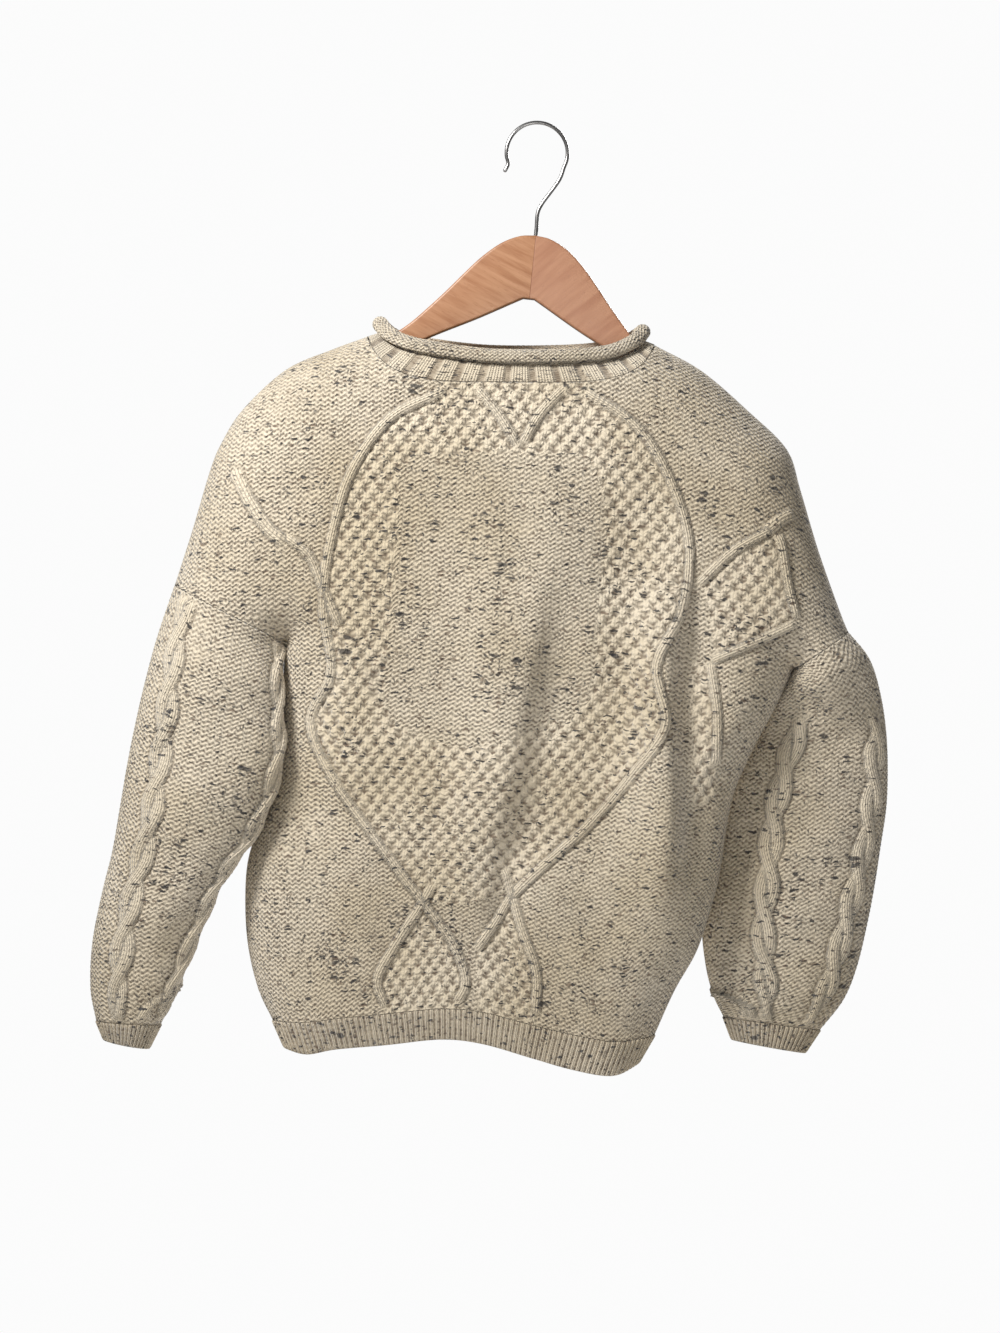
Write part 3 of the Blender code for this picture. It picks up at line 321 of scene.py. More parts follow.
def spline(points: Pairs, step: float = 4.0) -> Points:
    """Draw a smooth curve through points.

    Args:
        points: The points that it passes through.
        step: About how far apart the curve's own points are.

    Returns:
        The curve's points in order.
    """
    knots = np.array(points, float)
    padded = np.vstack([2 * knots[0] - knots[1], knots, 2 * knots[-1] - knots[-2]])
    line = []
    for index in range(len(knots) - 1):
        p0, p1, p2, p3 = padded[index:index + 4]
        for t in np.linspace(0, 1, max(2, math.ceil(np.linalg.norm(p2 - p1) / step)), endpoint=False):
            line.append(0.5 * (2 * p1 + (p2 - p0) * t + (2 * p0 - 5 * p1 + 4 * p2 - p3) * t**2
                               + (3 * p1 - p0 - 3 * p2 + p3) * t**3))
    line.append(knots[-1])
    return np.array(line)


def lengths_along(line: Points) -> Points:
    """Distances along a line of points, from its start."""
    return np.concatenate([[0], np.cumsum(np.linalg.norm(np.diff(line, axis=0), axis=1))])


def at_fractions(line: Points, fractions: Points) -> Points:
    """The points at these fractions of a line's length."""
    run = lengths_along(line)
    wanted = np.asarray(fractions) * run[-1]
    return np.stack([np.interp(wanted, run, line[:, axis]) for axis in range(line.shape[1])], axis=-1)


def evenly(line: Points, step: float) -> Points:
    """A line's points again, spaced evenly at about this step."""
    count = max(2, round(lengths_along(line)[-1] / step) + 1)
    return at_fractions(line, np.linspace(0, 1, count))


@dataclass
class Nearest:
    """Where points lie beside a line: distance, side (+1 on the right of travel), run along it and foot."""

    distance: Points
    side: Points
    run: Points
    foot: Points
    length: float

    @classmethod
    def of(cls, points: Points, line: Points) -> "Nearest":
        """Measure points against a line of points.

        Args:
            points: The points, two numbers each.
            line: The line's points in order.

        Returns:
            What was measured, an entry for each point.
        """
        start, along = line[:-1], np.diff(line, axis=0)
        size = np.maximum((along**2).sum(axis=1), 1e-12)
        run = lengths_along(line)
        parts: list[list[Points]] = [[], [], [], []]
        for first in range(0, len(points), 6000):
            chunk = points[first:first + 6000]
            offset = chunk[:, None, :] - start[None]
            share = np.clip((offset * along).sum(axis=2) / size, 0, 1)
            gap = offset - share[..., None] * along
            distance = np.sqrt((gap**2).sum(axis=2))
            best = distance.argmin(axis=1)
            rows = np.arange(len(chunk))
            cross = along[best, 0] * offset[rows, best, 1] - along[best, 1] * offset[rows, best, 0]
            parts[0].append(distance[rows, best])
            parts[1].append(np.where(cross > 0, -1.0, 1.0))
            parts[2].append(run[best] + share[rows, best] * np.sqrt(size[best]))
            parts[3].append(start[best] + share[rows, best, None] * along[best])
        return cls(*(np.concatenate(part) for part in parts), length=float(run[-1]))


def inside(points: Points, outline: Points) -> Points:
    """Say which points lie inside a closed outline.

    Args:
        points: The points, two numbers each.
        outline: The outline's corners in order.

    Returns:
        True or False for each point.
    """
    x1, z1 = outline[:, 0], outline[:, 1]
    x2, z2 = np.roll(x1, -1), np.roll(z1, -1)
    rise = np.where(z2 == z1, 1e-9, z2 - z1)
    found = []
    for first in range(0, len(points), 6000):
        x, z = points[first:first + 6000, 0, None], points[first:first + 6000, 1, None]
        crosses = (z1 > z) != (z2 > z)
        found.append((crosses & (x < (x2 - x1) * (z - z1) / rise + x1)).sum(axis=1) % 2 == 1)
    return np.concatenate(found)


def eased(value: Points | float) -> Any:
    """0 to 1 with soft ends."""
    value = np.clip(value, 0, 1)
    return value * value * (3 - 2 * value)


def rounding(distance: Points) -> Points:
    """A quarter round: 0 at a seam and 1 past its reach."""
    return np.sqrt(1 - (1 - np.clip(distance / SEAM_REACH, 0, 1))**2)


def fold_height(fold: Fold, near: Nearest) -> Points:
    """How far a fold moves the cloth outwards at points measured against its path."""
    place = near.run / near.length
    ends = eased(place / 0.22) * eased((1 - place) / 0.3)
    spread = np.exp(-(near.distance / fold.reach)**2)
    if fold.kind is FoldKind.RIDGE:
        return fold.height * spread * ends
    return -fold.height * np.tanh(near.side * near.distance / fold.edge) * spread * ends


def half_round_shares(count: int) -> Points:
    """Shares from 0 to 1, closer together at both ends, as seen across a half round."""
    return (1 - np.cos(np.linspace(0, math.pi, count + 1))) / 2


def unit(vectors: Points) -> Points:
    """The same directions, one long."""
    return vectors / np.maximum(np.linalg.norm(vectors, axis=-1, keepdims=True), 1e-9)


def turned_along(directions: Points, offsets: Points) -> Points:
    """The same directions, each turned round where it points against its offset."""
    return directions * np.where((directions * offsets).sum(axis=1) < 0, -1.0, 1.0)[:, None]


def grid_cells(ids: Points) -> Points:
    """The four corners of every cell of a grid of point numbers."""
    return np.stack([ids[:-1, :-1], ids[:-1, 1:], ids[1:, 1:], ids[1:, :-1]], axis=-1)


def point_normals(points: Points, faces: Points) -> Points:
    """Average the faces' directions at their points.

    Args:
        points: 3D points.
        faces: Four point numbers each.

    Returns:
        A direction for each point, one long.
    """
    a, b, c, d = (points[faces[:, corner]] for corner in range(4))
    normal = np.cross(c - a, d - b)
    total = np.zeros_like(points)
    for corner in range(4):
        np.add.at(total, faces[:, corner], normal)
    return unit(total)


def purl_relief(across: Points, down: Points) -> Points:
    """Height from -1 to 1 of the bumps on the purl side, from stitch coordinates."""
    turn = 2 * math.pi
    wave = np.cos(turn * across)
    return np.cos(turn * (down - 0.24 * wave)) * (0.15 + 0.85 * np.abs(wave))


def moss_relief(across: Points, down: Points) -> Points:
    """Height from -1 to 1 of the staggered beads of double moss stitch."""
    bead = np.cos(math.pi * across) * np.cos(math.pi * down / 2)
    return np.sign(bead) * np.abs(bead)**0.7


def vee_relief(column: Points, along: Points) -> Points:
    """Height from -1 to 1 of the V-shaped stitches on a knit column, from its own coordinates."""
    off = np.abs(column - np.floor(column) - 0.5)
    legs = np.sqrt(np.abs(np.sin(2 * math.pi * off)))
    return legs * (0.72 + 0.28 * np.cos(2 * math.pi * (along - 1.1 * off))) * 2 - 1


@dataclass
class Knitting:
    """Points, faces and stitch coordinates of one knitted piece, before it becomes a mesh."""

    points: list[Points] = field(default_factory=list)
    stitch: list[Points] = field(default_factory=list)
    cord: list[Points] = field(default_factory=list)
    moss: list[Points] = field(default_factory=list)
    knit: list[Points] = field(default_factory=list)
    groove: list[Points] = field(default_factory=list)
    faces: list[tuple[int, ...]] = field(default_factory=list)
    count: int = 0

    def add(self, points: Points, stitch: Points, cord: Points | None = None,
            moss: Points | float = 0.0, knit: Points | float = 0.0, groove: Points | float = 0.0) -> Points:
        """Add points.

        Args:
            points: 3D points in millimetres.
            stitch: Stitches across and rows up, for each point.
            cord: Columns across and rows along a raised cord, for each point.
            moss: How far each point is in moss stitch.
            knit: How far each point is in plain knit columns.
            groove: How far each point is in the groove beside a cord, which the material darkens with painted
                shade.

        Returns:
            The new points' numbers.
        """
        size = len(points)
        self.points.append(points)
        self.stitch.append(stitch)
        self.cord.append(stitch if cord is None else cord)
        self.moss.append(np.broadcast_to(moss, size).astype(float))
        self.knit.append(np.broadcast_to(knit, size).astype(float))
        self.groove.append(np.broadcast_to(groove, size).astype(float))
        self.count += size
        return np.arange(self.count - size, self.count)

    def quads(self, corners: Points) -> None:
        """Add four-sided faces, and leave out corners that are the same point."""
        corners = np.asarray(corners)
        following = np.roll(corners, -1, axis=1)
        whole = (corners != following).all(axis=1)
        self.faces += [tuple(face) for face in corners[whole].tolist()]
        for face in corners[~whole].tolist():
            kept = [point for index, point in enumerate(face) if point != face[index - 1]]
            if len(kept) >= 3 and len(set(kept)) == len(kept):
                self.faces.append(tuple(kept))

    def grid(self, ids: Points, flip: bool = False) -> None:
        """Add the faces of a grid of point numbers."""
        corners = grid_cells(ids).reshape(-1, 4)
        self.quads(corners[:, ::-1] if flip else corners)

    def strip(self, first: Points, second: Points, flip: bool = False) -> None:
        """Join two rows of points of different counts with triangles.

        Args:
            first: Point numbers of one row.
            second: Point numbers of the other, which runs the same way.
            flip: Whether the faces turn the other way.
        """
        i = j = 0
        total_first, total_second = len(first) - 1, len(second) - 1
        while i < total_first or j < total_second:
            step_first = (i + 1) / total_first if i < total_first else 9.0
            step_second = (j + 1) / total_second if j < total_second else 9.0
            if step_first <= step_second:
                face = (int(first[i]), int(first[i + 1]), int(second[j]))
                i += 1
            else:
                face = (int(first[i]), int(second[j + 1]), int(second[j]))
                j += 1
            self.faces.append(face[::-1] if flip else face)

    def to_object(self, name: str) -> bpy.types.Object:
        """Make the mesh object.

        Args:
            name: The piece's name.

        Returns:
            A closed shell with its stitch coordinates, in metres.
        """
        mesh = bpy.data.meshes.new(name)
        points = np.vstack(self.points)
        mesh.from_pydata((points * MM).tolist(), [], self.faces)
        corners = np.zeros(len(mesh.loops), int)
        mesh.loops.foreach_get("vertex_index", corners)
        for layer, values in (("stitch", self.stitch), ("cord", self.cord)):
            mesh.uv_layers.new(name=layer).data.foreach_set("uv", np.vstack(values)[corners].ravel())
        for layer, values in (("moss", self.moss), ("knit", self.knit), ("groove", self.groove)):
            mesh.attributes.new(layer, "FLOAT", "POINT").data.foreach_set("value", np.concatenate(values))
        work = bmesh.new()
        work.from_mesh(mesh)
        bmesh.ops.remove_doubles(work, verts=work.verts, dist=0.02 * MM)
        if work.calc_volume(signed=True) < 0:
            bmesh.ops.reverse_faces(work, faces=work.faces)
        work.to_mesh(mesh)
        work.free()
        mesh.shade_smooth()
        return placed(name, mesh)


def placed(name: str, mesh: bpy.types.Mesh) -> bpy.types.Object:
    """A new object with this mesh, in the scene."""
    obj = bpy.data.objects.new(name, mesh)
    bpy.context.scene.collection.objects.link(obj)
    return obj


def triangle_count(obj: bpy.types.Object) -> int:
    """How many triangles an object's mesh has."""
    return sum(len(polygon.vertices) - 2 for polygon in obj.data.polygons)


class Panel:
    """The front or the back of the body: an outline, and a depth at each point of it."""

    # The seam's quarter round, laid flat: how far in from the seam, against the length over the round
    turn = np.linspace(0, math.pi / 2, 400)
    flat_run = SEAM_REACH * (1 - np.cos(turn))
    arc_run = lengths_along(np.stack([flat_run, 46.0 * np.sin(turn)], axis=1))
    spare = float(arc_run[-1] - SEAM_REACH)

    def __init__(self, side: Side) -> None:
        """Draw the seams, edges, folds and cords of one panel."""
        self.side = side
        self.facing = -1.0 if side is Side.FRONT else 1.0
        self.seams = [spline(line, 8.0) for line in (SIDE_LEFT, SIDE_RIGHT, SHOULDER_LEFT, SHOULDER_RIGHT)]
        self.inward = (1.0, -1.0, 1.0, -1.0)
        self.hem = at_fractions(spline(HEM_TOP[side.value]), half_round_shares(22))
        self.neck = spline(NECK[side.value], 2.0)
        deep = tuple(replace(fold, height=fold.height * 1.5, reach=fold.reach * 0.8) for fold in FOLDS[side])
        self.folds = [(fold, spline(fold.path[::-1], 14.0)) for fold in deep + WRINKLES[side]]
        self.cords = [(cord, spline(cord.path)) for cord in CORDS]
        armhole_right = np.array([SIDE_RIGHT[-1], SHOULDER_RIGHT[0]], float)
        armhole_left = np.array([SHOULDER_LEFT[0], SIDE_LEFT[-1]], float)
        edges = (self.seams[1], armhole_right, self.seams[3], self.neck[::-1], self.seams[2][::-1],
                 armhole_left, self.seams[0][::-1])
        self.outline = np.vstack([evenly(self.hem, 3), *(evenly(edge, 3)[1:] for edge in edges)])[:-1]
        self.closed = np.vstack([self.outline, self.outline[:1]])
        self.sparse = np.vstack([self.outline[::3], self.outline[:1]])

    def middle(self, points: Points) -> Points:
        """Where the side seams lie in Y: the body passes behind one sleeve and before the other."""
        lean = eased((-466 - points[:, 1]) / 70) * eased((points[:, 1] + 830) / 90)
        share = np.clip((points[:, 0] + 230) / 460, 0, 1)
        return lean * (8 * (1 - share) - 6 * share)

    def depth(self, points: Points) -> Points:
        """Y of the outer face, without its raised pattern."""
        heights, halves = zip(*BODY_DEPTHS)
        half = np.interp(points[:, 1], heights, halves)
        round_off = np.ones(len(points))
        for seam in self.seams:
            round_off *= rounding(Nearest.of(points, seam).distance)
        bulge = half * round_off
        for fold, line in self.folds:
            bulge = bulge + fold_height(fold, Nearest.of(points, line)) * round_off**2
        return self.middle(points) + self.facing * (HALF_GAP + bulge)

    def lift(self, points: Points) -> Points:
        """3D points of the outer face over points of its plan."""
        return np.stack([points[:, 0], self.depth(points), points[:, 1]], axis=1)

    def plan_of(self, across: Points, up: Points) -> Points:
        """Lay the knitting's own rows and columns out over the plan, as the cloth hangs.

        Args:
            across: Millimetres across the flat knitting.
            up: Millimetres up it.

        Returns:
            Points of the plan, before the edges turn over the round of the seams.
        """
        low = eased((-560 - up) / 240)
        lean = np.interp(up, (FIRST_ROW, -466, -200), (-66, -30, -12))
        x = across * (1 - 0.14 * low) + lean
        dip = -0.00016 * (np.clip(across, -230, 300) + 230)**2 + 6
        hem = np.interp(x, self.hem[:, 0], self.hem[:, 1]) - FIRST_ROW
        return np.stack([x, up + (1 - low) * dip + low * hem], axis=-1)

    def turned_in(self, plan: Points) -> tuple[Points, Points]:
        """Turn the flat cloth's edges over the round of the seams.

        Args:
            plan: Points where the cloth would lie if it were flat.

        Returns:
            The points moved in, and which of them lie past a seam.
        """
        moved, past = plan.copy(), np.zeros(len(plan), bool)
        for seam, inward in zip(self.seams, self.inward):
            near = Nearest.of(plan, seam)
            ends = unit(np.array([seam[1] - seam[0], seam[-1] - seam[-2]]))
            before, after = near.run <= TINY, near.run >= near.length - TINY
            beside = ~(before | after)
            away = unit(plan - near.foot) * (near.side * inward)[:, None]
            offset = near.distance * near.side * inward
            beyond = np.zeros(len(plan))
            for at_end, tangent, forwards in ((before, ends[0], -1.0), (after, ends[1], 1.0)):
                square = np.array([tangent[1], -tangent[0]]) * inward
                gap = plan - near.foot
                offset = np.where(at_end, gap @ square, offset)
                beyond = np.where(at_end, np.maximum(gap @ tangent * forwards, 0), beyond)
                away = np.where(at_end[:, None], square, away)
            inner = np.interp(offset + self.spare, self.arc_run, self.flat_run)
            shift = np.where(offset + self.spare > self.arc_run[-1], 0.0, inner - offset)
            ended = ~beside
            shift = np.where(ended, np.minimum(shift, 2.5) * np.exp(-(beyond / 24)**2), shift)
            moved += away * shift[:, None]
            past |= beside & (offset < -self.spare)
        return moved, past

    def cord_at(self, points: Points) -> tuple[Points, Points, Points, Points]:
        """Measure the travelling ribs.

        Args:
            points: Points of the plan.

        Returns:
            The ribs' height, their column and row coordinates, how far each point is on one, and in the
            groove beside one, which the material darkens with painted shade.
        """
        height, groove = np.zeros(len(points)), np.zeros(len(points))
        where = np.zeros((len(points), 2))
        mask = np.zeros(len(points))
        for cord, line in self.cords:
            low, high = line.min(axis=0) - cord.width * 1.2, line.max(axis=0) + cord.width * 1.2
            close = np.flatnonzero(((points > low) & (points < high)).all(axis=1))
            near = Nearest.of(points[close], line)
            ends = eased(np.minimum(near.run, near.length - near.run) / 9 + 0.15)
            half = cord.width / 2 * 0.86
            # Painted shade: this band beside the rib is darkened in the material as well as sunk a little.
            beside = np.exp(-((near.distance - half - 0.7) / 1.2)**2) * ends
            groove[close] = np.maximum(groove[close], beside)
            crest = np.sqrt(np.clip(1 - (near.distance / half)**2, 0, 1)) * ends
            columns = near.side * near.distance / half
            rows = near.run / STITCH_HEIGHT
            shape = RIB_HEIGHT * crest * (0.84 + 0.22 * vee_relief(columns, rows))
            higher = shape > height[close]
            chosen = close[higher]
            height[chosen] = shape[higher]
            where[chosen] = np.stack([columns, rows], axis=1)[higher]
            mask[chosen] = eased(crest[higher] * 2.2)
        return height, where, mask, groove * (1 - mask)

    def moss_at(self, points: Points) -> Points:
        """Which points are knitted in moss stitch."""
        moss = np.zeros(len(points), bool)
        for outline in MOSS_FIELDS:
            moss |= inside(points, np.array(outline, float))
        return (moss & ~inside(points, spline(PLAIN_FIELD + PLAIN_FIELD[:1])[:-1])).astype(float)

    def inner(self, plan: Points, outer: Points, normal: Points, rim: Points) -> Points:
        """The inner face's points. At an open edge the wall keeps to the edge's own plane.

        Args:
            plan: Points of the plan.
            outer: The outer face over them, without relief.
            normal: Directions out of the cloth there.
            rim: Which points lie on the panel's outline.

        Returns:
            3D points of the inner face.
        """
        normal = normal.copy()
        edge = np.flatnonzero(rim)
        near = Nearest.of(plan[edge], self.closed)
        ahead = unit(at_fractions(self.closed, np.clip((near.run + 1.5) / near.length, 0, 1))
                     - at_fractions(self.closed, np.clip((near.run - 1.5) / near.length, 0, 1)))
        square = np.stack([ahead[:, 1], np.zeros(len(edge)), -ahead[:, 0]], axis=1)
        on_seam = np.min([Nearest.of(plan[edge], seam).distance for seam in self.seams], axis=0) < 0.3
        flat = unit(normal[edge] - (normal[edge] * square).sum(axis=1)[:, None] * square)
        normal[edge] = np.where(on_seam[:, None], square, flat)
        moved = outer - normal * WALL
        limit = self.middle(moved[:, [0, 2]]) + self.facing * HALF_GAP
        keep = np.minimum if self.side is Side.FRONT else np.maximum
        moved[:, 1] = keep(moved[:, 1], limit)
        return moved


def lattice(panel: Panel) -> tuple[Points, Points, Points, Points]:
    """Lay a panel's stitches out over its plan and trim them to its outline.

    Args:
        panel: The panel.

    Returns:
        Points of the plan, their stitch coordinates, faces of four points each, and which points are on
        the outline.
    """
    columns = np.arange(-340, 345, ACROSS_STEP)
    rows = np.arange(-880, -140, DOWN_STEP)
    across, up = np.meshgrid(columns, rows)
    shape = across.shape
    plan, past = panel.turned_in(panel.plan_of(across.ravel(), up.ravel()))
    kept = inside(plan, panel.outline) & ~past
    grid_kept = kept.reshape(shape)
    touched = grid_kept[:-1, :-1] | grid_kept[:-1, 1:] | grid_kept[1:, 1:] | grid_kept[1:, :-1]
    numbers = np.arange(plan.shape[0]).reshape(shape)
    corners = grid_cells(numbers)[touched]
    used = np.unique(corners)
    rim = used[~kept[used]]
    near = Nearest.of(plan[rim], panel.closed)
    plan[rim] = near.foot
    merged = np.arange(len(plan))
    spots: dict[int, int] = {}
    for point, spot in zip(rim.tolist(), np.round(near.run / 0.7).astype(int).tolist()):
        merged[point] = spots.setdefault(spot, point)
    corners = merged[corners]
    used, compact = np.unique(corners, return_inverse=True)
    knitted_up = (up.ravel() - FIRST_ROW) / STITCH_HEIGHT + ROW_SHIFT
    stitch = np.stack([across.ravel() / STITCH_WIDTH, knitted_up], axis=1)
    return plan[used], stitch[used], compact.reshape(corners.shape), ~kept[used]


class PanelKnit:
    """One body panel in knitting: its purl ground, moss fields, travelling ribs and plain inner face."""

    def __init__(self, panel: Panel) -> None:
        """Keep the panel that gives the form."""
        self.panel = panel

    def build(self) -> bpy.types.Object:
        """Make the panel's mesh."""
        panel = self.panel
        plan, stitch, faces, rim = lattice(panel)
        base = panel.lift(plan)
        toward = panel.facing
        normal = point_normals(base, faces)
        if np.sign(normal[:, 1].mean()) != toward:
            faces, normal = faces[:, ::-1], -normal
        cord, cord_place, on_cord, groove = panel.cord_at(plan)
        moss = panel.moss_at(plan)
        ground = GROUND_RELIEF * purl_relief(stitch[:, 0], stitch[:, 1])
        beads = 0.95 * moss_relief(stitch[:, 0], stitch[:, 1]) + 0.2
        clear = eased(Nearest.of(plan, panel.sparse).distance / 2.5) * ~rim
        relief = ground * (1 - moss) + beads * moss - GROOVE_DEPTH * groove
        relief = np.where(on_cord > 0, cord + relief * (1 - on_cord), relief) * clear
        knitting = Knitting()
        outer = knitting.add(base + normal * relief[:, None], stitch, cord_place, moss * (1 - on_cord),
                             on_cord, groove)
        knitting.quads(outer[faces])
        self.add_inner(knitting, plan, base, normal, rim, faces)
        return knitting.to_object(f"{panel.side.value}_panel_knit")

    def add_inner(self, knitting: Knitting, plan: Points, base: Points, normal: Points, rim: Points,
                  faces: Points) -> None:
        """Close the panel with a plain inner face and the wall's edge.

        Args:
            knitting: The piece that the faces are added to, with its outer points first.
            plan: The outer points' plan.
            base: The outer points before relief.
            normal: Directions out of the cloth at them.
            rim: Which of them lie on the outline.
            faces: The outer faces, facing outwards.
        """
        edges = np.concatenate([faces[:, [corner, (corner + 1) % 4]] for corner in range(4)])
        edges = edges[edges[:, 0] != edges[:, 1]]
        codes = edges[:, 0] * len(plan) + edges[:, 1]
        back = edges[:, 1] * len(plan) + edges[:, 0]
        border = edges[~np.isin(codes, back)]
        rim_ids = np.unique(border)
        spare = np.flatnonzero(~rim)
        cells: dict[tuple[int, int], int] = {}
        room = Nearest.of(plan[spare], self.panel.sparse).distance > 3.5
        for point in spare[room].tolist():
            key = (int(base[point, 0] // 10), int(base[point, 2] // 10), int(abs(base[point, 1]) // 10))
            cells.setdefault(key, point)
        inner_ids = np.concatenate([rim_ids, np.array(sorted(cells.values()))])
        place = {int(point): index for index, point in enumerate(inner_ids)}
        edge_pairs = [(place[int(a)], place[int(b)]) for a, b in border]
        found, _, triangles, origins, _, _ = delaunay_2d_cdt(
            [tuple(point) for point in plan[inner_ids]], edge_pairs, [], 0, 0.01, True)
        flat = np.array([tuple(point) for point in found])
        source = np.array([inner_ids[old[0]] if old else -1 for old in origins])
        triangles = np.array([face for face in triangles if len(face) == 3])
        triangles = triangles[(source[triangles] >= 0).all(axis=1)]
        triangles = triangles[inside(flat[triangles].mean(axis=1), self.panel.outline)]
        wall = self.panel.inner(plan[inner_ids], base[inner_ids], normal[inner_ids], rim[inner_ids])
        stitch = np.stack([plan[inner_ids, 0] / STITCH_WIDTH, plan[inner_ids, 1] / STITCH_HEIGHT], axis=1)
        ids = knitting.add(wall, stitch, stitch, 0.0, 1.0)
        to_wall = {int(point): int(number) for point, number in zip(inner_ids, ids)}
        for triangle in triangles:
            a, b, c = (to_wall[int(source[corner])] for corner in triangle)
            ground = flat[triangle]
            area = np.cross(ground[1] - ground[0], ground[2] - ground[0])
            if len({a, b, c}) == 3:
                knitting.faces.append((a, b, c) if (area > 0) == (self.panel.facing > 0) else (a, c, b))
        for a, b in border.tolist():
            knitting.faces.append((b, a, to_wall[a], to_wall[b]))


class Hem:
    """The ribbed band under a panel, drawn in a little."""

    rows = 22
    samples = 6

    def __init__(self, panel: Panel) -> None:
        """Draw the band's edges."""
        self.panel = panel
        self.low = spline(HEM_LOW[panel.side.value])

    def base(self, share: Points, down: float) -> Points:
        """3D points of the outer face at shares across the band and this share of the way down."""
        top = at_fractions(self.panel.hem, share)
        bottom = at_fractions(self.low, share)
        seam = self.panel.facing * HALF_GAP
        flat = top + (bottom - top) * down
        flat[:, 1] -= SEAM_GAP * (1 - down)
        drawn = seam + (self.panel.depth(top) - seam) * (1 - 0.12 * down)
        return np.stack([flat[:, 0], drawn, flat[:, 1]], axis=1)

    def outward(self, share: Points, down: float) -> Points:
        """Directions out of the band."""
        step = 0.004
        ahead = self.base(np.clip(share + step, 0, 1), down) - self.base(np.clip(share - step, 0, 1), down)
        square = np.stack([ahead[:, 1], -ahead[:, 0], np.zeros(len(ahead))], axis=1)
        normal = unit(square * -self.panel.facing)
        normal[share <= 0] = (-1, 0, 0)
        normal[share >= 1] = (1, 0, 0)
        return normal

    def even_shares(self, count: int) -> Points:
        """Shares of the top line that lie evenly along it in 3D."""
        fine = np.linspace(0, 1, 900)
        run = lengths_along(self.base(fine, 0.0))
        return np.interp(np.linspace(0, run[-1], count + 1), run, fine)

    def build(self) -> bpy.types.Object:
        """Make the band's mesh."""
        knitting = Knitting()
        shares = self.even_shares(HEM_RIBS * self.samples)
        ribs = np.linspace(0, HEM_RIBS, len(shares))
        plain = self.even_shares(60)
        outer_ids, inner_ids = [], []
        for down in np.linspace(0, 1, self.rows):
            rows = down * 6.5
            bump, knit = rib_profile(ribs, rows)
            ends = eased(down / 0.06) * 0.6 + 0.4
            lip = 1 - 0.45 * eased((down - 0.93) / 0.07)
            outer = self.base(shares, down) + self.outward(shares, down) * (bump * ends * lip)[:, None]
            where = np.stack([ribs, np.full(len(ribs), -rows)], axis=1)
            outer_ids.append(knitting.add(outer, where, where, 0.0, knit))
        front = self.panel.side is Side.FRONT
        keep = np.minimum if front else np.maximum
        for down in np.linspace(0, 1, 5):
            wall = self.base(plain, down) - self.outward(plain, down) * (WALL - 0.4)
            wall[:, 1] = keep(wall[:, 1], self.panel.facing * HALF_GAP)
            where = np.stack([np.linspace(0, HEM_RIBS, len(plain)), np.full(len(plain), down * 6.5)], axis=1)
            inner_ids.append(knitting.add(wall, where, where, 0.0, 1.0))
        close_wall(knitting, np.array(outer_ids), np.array(inner_ids), not front, True)
        return knitting.to_object(f"hem_rib_{self.panel.side.value}_knit")


def rib_profile(ribs: Points, rows: Points | float) -> tuple[Points, Points]:
    """The height of one-by-one rib and how far it is in a knit column.

    Args:
        ribs: Ribs across, a whole number at each gap between two.
        rows: Rows along the columns.

    Returns:
        Heights in millimetres and the knit mask.
    """
    off = np.abs(ribs - np.floor(ribs) - 0.5)
    column = np.clip(1 - (off / 0.36)**2, 0, 1)
    vee = 0.5 + 0.5 * np.cos(2 * math.pi * (rows - 1.6 * off))
    split = 1 - 0.22 * np.exp(-(off / 0.07)**2)
    return 1.6 * np.sqrt(column) * (0.88 + 0.12 * vee) * split, eased(column * 2)


def close_wall(knitting: Knitting, outer: Points, inner: Points, flip: bool, open_sides: bool) -> None:
    """Add the faces of a wall from its outer and inner grids of point numbers.

    Args:
        knitting: The piece.
        outer: Outer point numbers by row.
        inner: Inner point numbers by row, which run the same way.
        flip: Whether the outer faces turn the other way.
        open_sides: Whether the wall has two side edges to close.
    """
    knitting.grid(outer, flip)
    knitting.grid(inner, not flip)
    knitting.strip(outer[0], inner[0], not flip)
    knitting.strip(outer[-1], inner[-1], flip)
    if open_sides:
        knitting.strip(outer[:, 0], inner[:, 0], flip)
        knitting.strip(outer[:, -1], inner[:, -1], not flip)


def rope_relief(offset: Points, run: float, number: int) -> tuple[Points, Points, Points, Points]:
    """Shape one row of a two-strand rope cable.

    Args:
        offset: Millimetres from the cable's middle line, across the row.
        run: Millimetres along the cable.
        number: The cable's place, which shifts its turns.

    Returns:
        Heights, each point's coordinates on its strand, how far it is on the cable, and in its grooves and
        where the strands cross, which the material darkens with painted shade.
    """
    turn = (run / ROPE_PITCH + 0.75 + number * 0.16) % 1.0
    swing = ROPE_WIDTH * 0.235
    half = ROPE_WIDTH * 0.285
    over = swing * math.cos(math.pi * turn)
    lift = math.sin(math.pi * turn)
    slope = swing * math.pi / ROPE_PITCH * math.sin(math.pi * turn)
    height, outside = np.zeros(len(offset)), np.full(len(offset), 99.0)
    place, strands = np.zeros((len(offset), 2)), []
    for centre, tall, lean in ((-over, 0.72 - 0.4 * lift, slope), (over, 0.78 + 0.22 * lift, -slope)):
        across = (offset - centre) / half
        round_off = np.sqrt(np.clip(1 - across**2, 0, 1))
        column = across * 1.5
        along = run / STITCH_HEIGHT + across * lean * 2.2
        shape = ROPE_HEIGHT * tall * round_off * (0.9 + 0.12 * vee_relief(column, along))
        outside = np.minimum(outside, (np.abs(across) - 1) * half)
        strands.append(shape)
        higher = shape > height
        height[higher] = shape[higher]
        place[higher] = np.stack([column, along], axis=1)[higher]
    # Painted shade: the material darkens the grooves beside the strands and the place where they cross.
    beside = np.exp(-((outside - 0.7) / 1.3)**2)
    crossing = np.exp(-((strands[0] - strands[1]) / 0.55)**2) * (np.minimum(*strands) > 0.3)
    return height, place, eased(height / 1.2), np.maximum(beside * (outside > -0.4), crossing)


